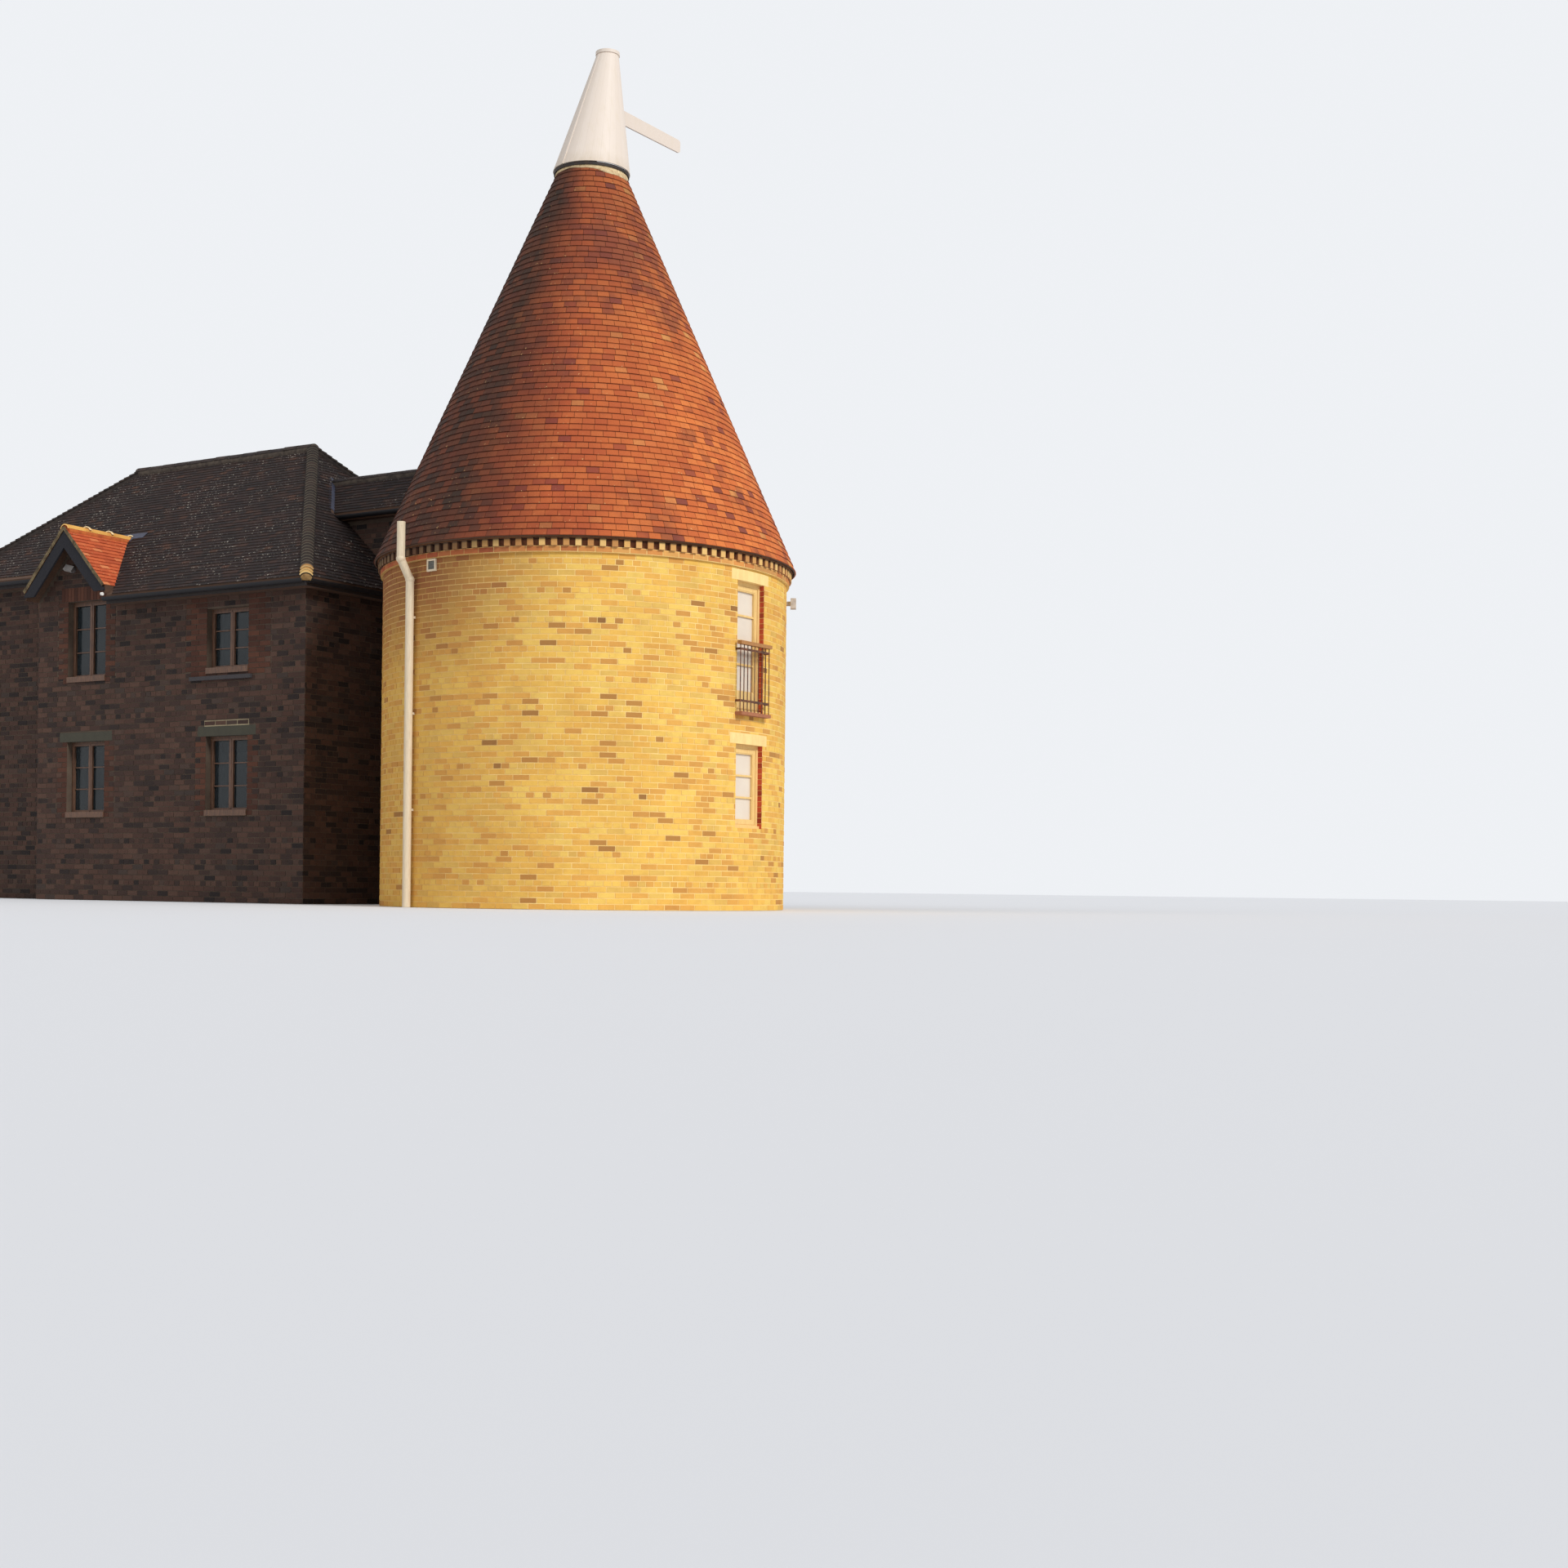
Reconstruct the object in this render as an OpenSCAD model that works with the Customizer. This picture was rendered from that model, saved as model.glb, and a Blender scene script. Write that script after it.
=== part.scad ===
// Oast house: a round hop kiln under a tiled cone with a turning cowl,
// tied by a narrow link to a two-storey hipped brick barn.
// The origin is on the ground at the kiln's centre, +Z is up, and +X runs
// along the barn's ridge from the barn to the kiln.

/* [Brickwork] */
// Height of one brick course with its joint
course = 75; // [68:1:80]
// Depth that a window frame is set back from the face of the wall
reveal = 100; // [70:5:120]
// Depth of a window frame
frame_depth = 70; // [50:5:90]
// Thickness of a window frame's posts and rails
frame_bar = 60; // [40:5:80]
// Thickness of a pane of glass
glass_t = 12; // [6:1:20]

/* [Kiln wall] */
// Outer radius of the round wall
kiln_radius = 2850; // [2600:10:3100]
// Thickness of the round wall
kiln_wall = 330; // [300:5:420]
// Height of the plain brickwork
kiln_wall_height = 4600; // [4550:10:5200]
// How far the lower band stands out from the wall
band_out = 38; // [20:1:50]
// How far the dentil bricks stand out from the wall
dentil_out = 72; // [55:1:76]
// Number of dentil bricks round the wall
dentil_count = 117; // [105:1:122]
// Width of a dentil brick, laid on its edge
dentil_w = 78; // [70:1:84]
// Height of the dentil bricks
dentil_h = 102; // [75:1:110]
// How far the upper band stands out from the wall
top_band_out = 80; // [60:1:95]
// Height of the upper band
top_band_height = 50; // [40:1:75]
// Thickness of the kiln's ground floor
kiln_slab = 150; // [100:10:200]
// Height of the kiln's upper floor above the ground
kiln_floor_z = 2600; // [2500:10:2620]
// Thickness of the kiln's upper floor
kiln_floor_t = 150; // [100:10:250]

/* [Kiln roof] */
// How far the tile edge stands out from the wall
cone_overhang = 138; // [110:1:200]
// Slope of the cone, in degrees
cone_pitch = 66.2; // [62:0.1:68]
// Radius of the cone where it is cut off under the cowl
cone_top_radius = 505; // [480:5:540]
// Thickness of tiles, battens, rafters and plaster, square to the slope
cone_thickness = 190; // [150:5:230]
// Depth of the tile edge below the seat on the upper band
tile_drop = 30; // [15:1:45]

/* [Cowl] */
// Direction that the vane points at rest, in degrees from +X
vane_heading = 87; // [0:1:180]
// Outer radius of the cowl at its foot
cowl_radius = 548; // [520:1:570]
// Outer radius of the cowl at its top
cowl_top_radius = 160; // [130:5:220]
// Height of the cowl's shell
cowl_height = 1800; // [1600:10:2000]
// How far the top leans over towards the vane
cowl_lean = 330; // [280:5:370]
// Thickness of the cowl's shell
cowl_shell_t = 20; // [12:1:30]
// Height of the iron curb ring that the cowl stands over
curb_height = 40; // [30:1:60]
// Running gap between the curb ring and the cowl's rim
cowl_gap = 8; // [5:1:15]
// Radius of the post that the cowl turns on
post_radius = 35; // [25:1:45]
// Running clearance round the post in its bearings
post_clearance = 0.05; // [0.02:0.01:0.1]
// Length of the vane from the cowl's axis to its tip
vane_length = 2060; // [1700:10:2300]
// Depth of the vane at the post
vane_depth = 215; // [170:5:240]
// Thickness of the vane board
vane_t = 28; // [20:1:40]
// Height of the vane's middle above the cowl's foot
vane_z = 1030; // [900:10:1150]

/* [Kiln windows] */
// Direction that the kiln's windows face, in degrees from +X
window_heading = -2; // [-10:1:10]
// Width of the kiln's window openings
kiln_window_w = 640; // [560:10:720]
// Bottom of the upper opening above the ground
upper_window_z0 = 2665; // [2660:5:2700]
// Top of the upper opening above the ground
upper_window_z1 = 4430; // [4300:5:4440]
// Bottom of the lower opening above the ground
lower_window_z0 = 1110; // [900:10:1200]
// Top of the lower opening above the ground
lower_window_z1 = 2240; // [2100:10:2260]
// Height of the stone lintels
lintel_h = 145; // [120:5:160]
// Bearing of a lintel on the brickwork at each side
lintel_bearing = 120; // [100:5:200]

/* [Balcony] */
// Width of the balcony's railing
rail_w = 700; // [640:10:780]
// Height of the timber handrail above the sill
rail_h = 945; // [900:5:1100]
// Gap from the wall's outermost face to the railing
rail_gap = 60; // [40:5:100]
// Number of upright bars
baluster_count = 9; // [7:1:11]
// Diameter of an upright bar
baluster_d = 14; // [10:1:18]

/* [Kiln fittings] */
// Direction of the small wall vent, in degrees from +X
vent_heading = -98.5; // [-110:0.5:-80]
// Direction of the floodlight, in degrees from +X
flood_heading = 31; // [20:1:60]
// Direction of the vent pipe, in degrees from +X
pipe_heading = -106; // [-112:0.5:-103]
// Diameter of the vent pipe
pipe_d = 110; // [82:1:125]
// Top of the vent pipe above the ground
pipe_top = 5100; // [5000:10:5600]

/* [Barn] */
// Distance of the ridge from the kiln's axis, along Y
barn_ridge_y = 1050; // [900:10:1200]
// Half of the barn's depth over its walls
barn_half_depth = 2720; // [2500:10:2900]
// Distance from the kiln's axis to the barn's hip wall
barn_end_x = 3830; // [3500:10:4200]
// Length of the barn's deeper part along the ridge
barn_main_length = 5850; // [5500:10:6300]
// Length of the narrower part beyond it
barn_far_length = 2790; // [2400:10:3200]
// How much the narrower part's walls step back at each side
barn_step = 570; // [450:5:600]
// Thickness of the barn's walls
barn_wall = 330; // [300:5:360]
// Height of the deeper part's walls
barn_wall_height = 4600; // [4550:10:4800]
// Thickness of the barn's ground floor
barn_slab = 150; // [100:10:200]
// Height of the barn's upper floor above the ground
barn_floor_z = 2800; // [2750:10:2900]
// Thickness of the barn's upper floor
barn_floor_t = 130; // [100:5:140]

/* [Barn roof] */
// Slope of the barn's roof at front and back, in degrees
barn_pitch = 42.5; // [38:0.5:47]
// Slope of the hipped ends, in degrees
hip_pitch = 44; // [40:0.5:48]
// Overhang of the tile edge beyond the walls
barn_overhang = 220; // [170:5:230]
// Height of the tile edge above the wall top
tile_edge_h = 140; // [110:5:180]
// Thickness of tiles, battens and rafters, measured upright
barn_roof_t = 240; // [180:10:280]
// Radius of the round ridge and hip tiles
ridge_tile_r = 115; // [90:5:140]
// Thickness of the eaves boards
fascia_t = 25; // [18:1:35]
// Outer radius of the gutters
gutter_r = 56; // [45:1:65]

/* [Gabled dormer] */
// Half width of the small gable's roof, over its tiles
gable_half = 930; // [880:5:960]
// Height of the small gable's ridge above the ground
gable_ridge_z = 5860; // [5780:10:5950]
// Height of the small gable's eaves above the ground
gable_eaves_z = 4890; // [4850:10:4910]
// How far the small gable's roof stands out from the front wall
gable_out = 240; // [230:5:340]
// Thickness of the small gable's roof, measured upright
gable_roof_t = 130; // [100:5:150]
// Depth of the bargeboards, measured upright
bargeboard_h = 265; // [200:5:280]
// Depth of the bargeboards' top edge below the tiles, measured upright
bargeboard_drop = 60; // [25:1:75]
// Thickness of the bargeboards
bargeboard_t = 32; // [25:1:40]

/* [Barn windows] */
// Width of the barn's window openings
barn_window_w = 880; // [800:10:960]
// Distance of the windows nearest the kiln from the kiln's axis
near_window_x = 5420; // [5200:10:5600]
// Distance of the windows under the small gable from the kiln's axis
gable_window_x = 8540; // [8500:10:8800]
// Bottom of the upper windows above the ground
barn_upper_z0 = 3440; // [3300:10:3500]
// Top of the upper windows above the ground
barn_upper_z1 = 4420; // [4300:10:4440]
// Top of the window under the small gable above the ground
gable_window_z1 = 4720; // [4650:10:4760]
// Bottom of the ground floor windows above the ground
barn_lower_z0 = 1300; // [1100:10:1400]
// Top of the ground floor windows above the ground
barn_lower_z1 = 2500; // [2400:10:2550]
// Width of the timber post between two lights
mullion = 75; // [55:5:90]
// Height of a timber window sill
sill_h = 110; // [80:5:120]
// Height of a slate sill below a window
slate_h = 60; // [40:5:70]
// How far the slate sill reaches past the window on the far side
slate_side = 330; // [250:10:360]
// Width of the rear doorway
door_w = 900; // [800:10:1000]
// Height of the rear doorway above the barn's floor
door_h = 2050; // [1950:10:2200]

/* [Link] */
// Distance of the link's ridge from the kiln's axis, along Y
link_ridge_y = 850; // [750:10:950]
// Half of the link's width over its walls
link_half = 590; // [540:10:660]
// Thickness of the link's walls
link_wall_t = 225; // [200:5:240]
// How far the link's ridge lies below the barn's ridge
link_ridge_drop = 675; // [550:5:850]
// Slope of the link's roof, in degrees
link_pitch = 42.5; // [38:0.5:46]
// Overhang of the link's tile edge
link_overhang = 150; // [100:5:180]
// Thickness of the link's roof, measured upright
link_roof_t = 200; // [160:10:240]
// Height of the link's tile edge above its wall top
link_edge_h = 120; // [90:5:150]

/* [Hidden] */
$fn = 192;

// A seat between curved faces
fit = 0.3;
// Length that a cutting shape runs past what it cuts
past = 50;

kiln_inner = kiln_radius - kiln_wall;
segment_angle = 60;
segment_gap = 0.006;
band_z = kiln_wall_height;
dentil_z = band_z + course;
top_band_z = dentil_z + dentil_h;
seat_z = top_band_z + top_band_height;
cone_edge_radius = kiln_radius + cone_overhang;
cone_edge_z = seat_z - tile_drop;
cone_rise = tan(cone_pitch);
cone_top_z = cone_edge_z + (cone_edge_radius - cone_top_radius) * cone_rise;
cone_level_t = cone_thickness / sin(cone_pitch);
drip = 12;

curb_outer = cowl_radius - 12;
curb_inner = cone_top_radius - 75;
curb_z1 = cone_top_z + curb_height;
cowl_z0 = curb_z1 + cowl_gap;
cap_h = 45;
cap_lip = 13;
mouth_z0 = 140;
mouth_z1 = 1340;
mouth_w0 = 620;
mouth_w1 = 240;
seam_turn = 171;
seam_w = 30;
seam_out = 14;
bearing_h = curb_height - 4;
bearing_w = 110;
foot_beam_h = 120;
foot_beam_w = 140;
foot_beam_top = cone_top_z - 900;
foot_socket = 60;
post_top = vane_z + vane_depth / 2 + 40;
vane_tip_depth = vane_depth - 25;
vane_corner = 45;
arm_w = 45;
arm_t = 28;

window_stile = 65;
upper_bottom_rail = 240;
window_rail = 65;
lintel_depth = 100;
lintel_proud = 4;
sill_out = 95;
sill_t = 45;
railing_x = kiln_radius + rail_gap;
rail_bar_w = 12;
rail_bar_h = 30;
handrail_w = 70;
handrail_h = 48;
handrail_z = upper_window_z0 + rail_h;

vent_w = 175;
vent_h = 162;
vent_z = kiln_wall_height - 88;
vent_out = 26;
vent_frame = 26;
flood_size = 145;
flood_t = 80;
flood_z = kiln_wall_height - 230;
flood_arm = 60;
pipe_low_radius = kiln_radius + pipe_d / 2 + 30;
pipe_high_radius = cone_edge_radius + pipe_d / 2 + 35;
pipe_bend = 120;
pipe_offset_z = kiln_wall_height - 250;
pipe_wall = 5;
pipe_socket = 7;

barn_near_x = -barn_end_x;
barn_step_x = barn_near_x - barn_main_length;
barn_far_x = barn_step_x - barn_far_length;
barn_front_y = barn_ridge_y - barn_half_depth;
barn_back_y = barn_ridge_y + barn_half_depth;
far_half = barn_half_depth - barn_step;
barn_rise = tan(barn_pitch);
hip_rise = tan(hip_pitch);
tile_edge_z = barn_wall_height + tile_edge_h;
far_wall_height = barn_wall_height + barn_step * barn_rise;
far_edge_z = tile_edge_z + barn_step * barn_rise;
barn_ridge_z = tile_edge_z + (barn_half_depth + barn_overhang) * barn_rise;
near_hip_x = barn_near_x + barn_overhang - (barn_ridge_z - tile_edge_z) / hip_rise;
far_hip_x = barn_far_x - barn_overhang + (barn_ridge_z - far_edge_z) / hip_rise;
tile_edge_t = 45;
fascia_inset = 32;
gutter_t = 4;
verge = 20;
slate_near_side = 80;
slate_out = 45;
timber_sill_out = 25;

gable_slope = (gable_ridge_z - gable_eaves_z) / gable_half;
gable_wall_half = gable_half - 30;
gable_x = -barn_step_x - gable_wall_half;
gable_front_y = barn_front_y - gable_out;
gable_tile_r = 95;
bargeboard_nose = 25;
lamp_r = 55;
lamp_up = 340;
rear_door_x = (gable_x + near_window_x) / 2;

link_front_y = link_ridge_y - link_half;
link_back_y = link_ridge_y + link_half;
link_rise = tan(link_pitch);
link_ridge_z = barn_ridge_z - link_ridge_drop;
link_edge_z = link_ridge_z - (link_half + link_overhang) * link_rise;
link_wall_height = link_edge_z - link_edge_h;
flashing_w = 130;
flashing_t = 8;

// Radius of the cone's tiled face at height z
function cone_radius(z) = cone_edge_radius - (z - cone_edge_z) / cone_rise;

// Corners of the dentil course seen from above, four for each brick
function dentil_outline(n) = [
  for (i = [0 : n - 1], c = [[0, -1], [1, -1], [1, 1], [0, 1]])
    let (a = i * 360 / n, r = kiln_radius + c[0] * dentil_out, t = c[1] * dentil_w / 2)
    [r * cos(a) - t * sin(a), r * sin(a) + t * cos(a)]
];

module ring(r_out, r_in, z0, z1) {
  translate([0, 0, z0])
    difference() {
      cylinder(r = r_out, h = z1 - z0);
      translate([0, 0, -past]) cylinder(r = r_in, h = z1 - z0 + 2 * past);
    }
}

module block(x0, x1, y0, y1, z0, z1) {
  translate([x0, y0, z0]) cube([x1 - x0, y1 - y0, z1 - z0]);
}

// Everything under the kiln's outer faces, used to trim what meets the kiln
module kiln_mass(gap) {
  cylinder(r = kiln_radius + gap, h = band_z + 1);
  translate([0, 0, band_z - gap]) cylinder(r = kiln_radius + band_out + gap, h = course + gap);
  translate([0, 0, dentil_z])
    cylinder(r = norm([kiln_radius + dentil_out, dentil_w / 2]) + gap, h = dentil_h);
  translate([0, 0, top_band_z - gap])
    cylinder(r = kiln_radius + top_band_out + gap, h = top_band_height + gap);
  rotate_extrude()
    polygon([
      [0, cone_edge_z - drip - 2], [cone_edge_radius + gap, cone_edge_z - drip - 2],
      [cone_edge_radius + gap, cone_edge_z], [cone_top_radius + gap, cone_top_z],
      [0, cone_top_z]
    ]);
}

// One sector of the round wall, from angle a0 on
module kiln_wall_sector(a0) {
  rotate([0, 0, a0])
    rotate_extrude(angle = segment_angle - segment_gap)
      translate([kiln_inner, 0]) square([kiln_wall, kiln_wall_height - fit]);
}

// A box through the wall at the windows' direction
module at_window() {
  rotate([0, 0, window_heading]) children();
}

module kiln_opening(z0, z1) {
  at_window()
    block(kiln_inner - past, kiln_radius + past, -kiln_window_w / 2, kiln_window_w / 2, z0, z1);
}

module kiln_lintel(z) {
  half = kiln_window_w / 2 + lintel_bearing;
  at_window()
    intersection() {
      block(kiln_radius - lintel_depth - 200, kiln_radius + past, -half, half, z, z + lintel_h);
      ring(kiln_radius + lintel_proud, kiln_radius - lintel_depth, z - past, z + lintel_h + past);
    }
}

module kiln_wall_window_side() {
  color("peru")
    difference() {
      kiln_wall_sector(window_heading - segment_angle / 2);
      kiln_opening(upper_window_z0, upper_window_z1);
      kiln_opening(lower_window_z0, lower_window_z1);
      kiln_lintel(upper_window_z1);
      kiln_lintel(lower_window_z1);
      balcony_sill_shape();
    }
}

module kiln_wall_plain(step) {
  color("peru") kiln_wall_sector(window_heading - segment_angle / 2 + step * segment_angle);
}

module kiln_lower_band() {
  color("sandybrown") ring(kiln_radius + band_out, kiln_inner, band_z, dentil_z);
}

module kiln_dentil_course() {
  color("sienna")
    difference() {
      translate([0, 0, dentil_z]) linear_extrude(dentil_h) polygon(dentil_outline(dentil_count));
      translate([0, 0, dentil_z - past]) cylinder(r = kiln_inner, h = dentil_h + 2 * past);
    }
}

module kiln_upper_band() {
  color("sandybrown") ring(kiln_radius + top_band_out, kiln_inner, top_band_z, seat_z);
}

module kiln_ground_floor() {
  color("lightgrey") cylinder(r = kiln_inner - fit, h = kiln_slab);
}

module kiln_upper_floor() {
  color("burlywood")
    translate([0, 0, kiln_floor_z - kiln_floor_t])
      cylinder(r = kiln_inner - fit, h = kiln_floor_t);
}

module kiln_roof() {
  inner_seat = cone_radius(seat_z) - cone_level_t;
  color("firebrick")
    rotate_extrude()
      polygon([
        [inner_seat, seat_z], [kiln_radius + top_band_out, seat_z],
        [cone_edge_radius - drip, cone_edge_z - drip], [cone_edge_radius, cone_edge_z],
        [cone_top_radius, cone_top_z], [cone_top_radius - cone_level_t, cone_top_z]
      ]);
}

module kiln_curb_ring() {
  color("black") ring(curb_outer, curb_inner, cone_top_z, curb_z1);
}

// Bar across the curb that steadies the post
module cowl_bearing_bar() {
  color("dimgray")
    difference() {
      intersection() {
        block(-curb_inner, curb_inner, -bearing_w / 2, bearing_w / 2, cone_top_z,
              cone_top_z + bearing_h);
        translate([0, 0, cone_top_z - past]) cylinder(r = curb_inner - fit, h = 4 * past);
      }
      translate([0, 0, cone_top_z - past])
        cylinder(r = post_radius + post_clearance, h = 4 * past);
    }
}

// Timber beam across the inside of the cone that carries the post's foot
module cowl_foot_beam() {
  z0 = foot_beam_top - foot_beam_h;
  color("saddlebrown")
    difference() {
      intersection() {
        block(-kiln_radius, kiln_radius, -foot_beam_w / 2, foot_beam_w / 2, z0, foot_beam_top);
        rotate_extrude()
          polygon([
            [0, z0 - past],
            [cone_radius(z0 - past) - cone_level_t - fit, z0 - past],
            [cone_radius(foot_beam_top + past) - cone_level_t - fit, foot_beam_top + past],
            [0, foot_beam_top + past]
          ]);
      }
      translate([0, 0, foot_beam_top - foot_socket])
        cylinder(r = post_radius + post_clearance, h = foot_socket + past);
    }
}

module kiln_lintels() {
  color("wheat") {
    kiln_lintel(upper_window_z1);
    kiln_lintel(lower_window_z1);
  }
}

// A window of one light in the kiln wall
module kiln_window(z0, z1, bottom_rail) {
  x1 = kiln_radius - reveal;
  half = kiln_window_w / 2;
  side = frame_bar + window_stile;
  at_window()
    difference() {
      block(x1 - frame_depth, x1, -half, half, z0, z1);
      block(x1 - frame_depth - past, x1 + past, -half + side, half - side,
            z0 + frame_bar + bottom_rail, z1 - frame_bar - window_rail);
    }
}

module kiln_pane(z0, z1, bottom_rail) {
  x = kiln_radius - reveal - frame_depth / 2;
  half = kiln_window_w / 2 - frame_bar - window_stile;
  at_window()
    block(x - glass_t / 2, x + glass_t / 2, -half, half,
          z0 + frame_bar + bottom_rail, z1 - frame_bar - window_rail);
}

module kiln_upper_window() {
  color("khaki") kiln_window(upper_window_z0, upper_window_z1, upper_bottom_rail);
}

module kiln_lower_window() {
  color("khaki") kiln_window(lower_window_z0, lower_window_z1, window_rail);
}

module kiln_glass() {
  color("lightblue") {
    kiln_pane(upper_window_z0, upper_window_z1, upper_bottom_rail);
    kiln_pane(lower_window_z0, lower_window_z1, window_rail);
  }
}

module balcony_sill_shape() {
  at_window()
    block(kiln_radius - reveal, kiln_radius + sill_out, -rail_w / 2, rail_w / 2,
          upper_window_z0 - sill_t, upper_window_z0);
}

module balcony_sill() {
  color("peru") balcony_sill_shape();
}

module railing_bar(z) {
  block(railing_x - rail_bar_w / 2, railing_x + rail_bar_w / 2, -rail_w / 2, rail_w / 2,
        z, z + rail_bar_h);
  for (side = [-1, 1])
    difference() {
      translate([kiln_radius - 100, side * (rail_w / 2 - rail_bar_w / 2) - rail_bar_w / 2, z])
        cube([railing_x - kiln_radius + 100, rail_bar_w, rail_bar_h]);
      cylinder(r = kiln_radius + fit, h = 2 * kiln_wall_height, $fn = 720);
    }
}

module balcony_railing() {
  spacing = (rail_w - rail_bar_w) / (baluster_count - 1);
  color("black")
    at_window() {
      railing_bar(handrail_z - handrail_h - 75);
      railing_bar(upper_window_z0 + 130);
      for (i = [0 : baluster_count - 1])
        translate([railing_x, -rail_w / 2 + rail_bar_w / 2 + i * spacing, upper_window_z0])
          cylinder(d = baluster_d, h = rail_h - handrail_h, $fn = 24);
    }
}

module balcony_handrail() {
  color("saddlebrown")
    at_window()
      block(railing_x - handrail_w / 2, railing_x + handrail_w / 2,
            -rail_w / 2 - 20, rail_w / 2 + 20, handrail_z - handrail_h, handrail_z);
}

module wall_vent() {
  color("white")
    rotate([0, 0, vent_heading])
      difference() {
        block(kiln_radius - 20, kiln_radius + vent_out, -vent_w / 2, vent_w / 2,
              vent_z - vent_h / 2, vent_z + vent_h / 2);
        block(kiln_radius + vent_out - 12, kiln_radius + 2 * vent_out,
              -vent_w / 2 + vent_frame, vent_w / 2 - vent_frame,
              vent_z - vent_h / 2 + vent_frame, vent_z + vent_h / 2 - vent_frame);
        cylinder(r = kiln_radius + fit, h = 2 * kiln_wall_height, $fn = 720);
      }
}

module floodlight() {
  color("dimgray")
    rotate([0, 0, flood_heading]) {
      difference() {
        block(kiln_radius - 20, kiln_radius + flood_arm, -25, 25, flood_z - 30, flood_z + 30);
        cylinder(r = kiln_radius + fit, h = 2 * kiln_wall_height, $fn = 720);
      }
      block(kiln_radius + flood_arm, kiln_radius + flood_arm + flood_t, -flood_size / 2,
            flood_size / 2, flood_z - flood_size / 2, flood_z + flood_size / 2);
    }
}

// Vent pipe with a swan neck that carries it out past the tile edge
module vent_pipe() {
  run = pipe_high_radius - pipe_low_radius;
  rise = 260;
  lean = atan(run / rise);
  length = sqrt(run * run + rise * rise);
  color("ivory")
    rotate([0, 0, pipe_heading]) {
      translate([pipe_low_radius, 0, 0]) cylinder(d = pipe_d, h = pipe_offset_z);
      translate([pipe_low_radius, 0, pipe_offset_z]) sphere(d = pipe_d + 2 * pipe_socket);
      translate([pipe_low_radius, 0, pipe_offset_z])
        rotate([0, lean, 0]) cylinder(d = pipe_d, h = length);
      translate([pipe_high_radius, 0, pipe_offset_z + rise])
        sphere(d = pipe_d + 2 * pipe_socket);
      difference() {
        translate([pipe_high_radius, 0, pipe_offset_z + rise])
          cylinder(d = pipe_d, h = pipe_top - pipe_offset_z - rise);
        translate([pipe_high_radius, 0, pipe_top - pipe_bend])
          cylinder(d = pipe_d - 2 * pipe_wall, h = pipe_bend + past);
      }
      for (z = [1 : 3])
        difference() {
          block(kiln_radius - 20, pipe_low_radius, -20, 20, z * pipe_offset_z / 3.4,
                z * pipe_offset_z / 3.4 + 30);
          cylinder(r = kiln_radius + fit, h = 2 * kiln_wall_height, $fn = 720);
        }
    }
}

module at_cowl() {
  translate([0, 0, cowl_z0]) rotate([0, 0, vane_heading]) children();
}

// The leaning cone of the cowl, taken in by t all round
module cowl_cone(t, z0, z1) {
  taper = (cowl_radius - cowl_top_radius) / cowl_height;
  hull() {
    translate([cowl_lean * z0 / cowl_height, 0, z0])
      cylinder(r = cowl_radius - t - taper * z0, h = 0.01, $fn = 96);
    translate([cowl_lean * z1 / cowl_height, 0, z1 - 0.01])
      cylinder(r = cowl_radius - t - taper * z1, h = 0.01, $fn = 96);
  }
}

module cowl_shell() {
  color("white")
    at_cowl()
      difference() {
        union() {
          cowl_cone(0, 0, cowl_height);
          rotate([0, 0, seam_turn])
            hull() {
              translate([cowl_radius - 5, -seam_w / 2, 0]) cube([seam_out, seam_w, 1]);
              translate([
                cowl_top_radius - 5 + cowl_lean * cos(seam_turn),
                -seam_w / 2 - cowl_lean * sin(seam_turn), cowl_height - seam_out
              ])
                cube([seam_out, seam_w, 1]);
            }
        }
        cowl_cone(cowl_shell_t, -past, cowl_height + past);
        translate([cowl_lean / 2, 0, 0])
          rotate([90, 0, 90])
            linear_extrude(2 * cowl_radius)
              polygon([
                [-mouth_w0 / 2, mouth_z0], [mouth_w0 / 2, mouth_z0],
                [mouth_w1 / 2, mouth_z1], [-mouth_w1 / 2, mouth_z1]
              ]);
      }
}

module cowl_cap() {
  color("white")
    at_cowl()
      translate([cowl_lean, 0, cowl_height]) cylinder(r = cowl_top_radius + cap_lip, h = cap_h);
}

// Arms that hold the shell to the post at its foot and behind the vane
module cowl_arms() {
  color("dimgray")
    at_cowl()
      difference() {
        intersection() {
          union() {
            for (turn = [45, 135])
              rotate([0, 0, turn])
                block(-cowl_radius, cowl_radius, -arm_w / 2, arm_w / 2, 10, 10 + arm_t);
            block(-cowl_radius, 0, -arm_w / 2, arm_w / 2, vane_z - 150, vane_z - 150 + arm_t);
          }
          cowl_cone(cowl_shell_t, -past, cowl_height);
        }
        translate([0, 0, -past]) cylinder(r = post_radius, h = cowl_height);
      }
}

module cowl_post() {
  foot_z = foot_beam_top - foot_socket + fit;
  color("dimgray")
    translate([0, 0, foot_z]) cylinder(r = post_radius, h = cowl_z0 + post_top - foot_z);
}

module cowl_vane() {
  color("white")
    at_cowl()
      difference() {
        translate([0, vane_t / 2, 0])
          rotate([90, 0, 0])
            linear_extrude(vane_t)
              union() {
                polygon([
                  [0, vane_z - vane_depth / 2], [vane_length - vane_corner, vane_z - vane_tip_depth / 2],
                  [vane_length, vane_z - vane_tip_depth / 2 + vane_corner],
                  [vane_length, vane_z + vane_tip_depth / 2 - vane_corner],
                  [vane_length - vane_corner, vane_z + vane_tip_depth / 2],
                  [0, vane_z + vane_depth / 2]
                ]);
                for (s = [-1, 1])
                  translate([vane_length - vane_corner, vane_z + s * (vane_tip_depth / 2 - vane_corner)])
                    circle(r = vane_corner, $fn = 32);
              }
        cylinder(r = post_radius, h = cowl_height);
      }
}

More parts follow.
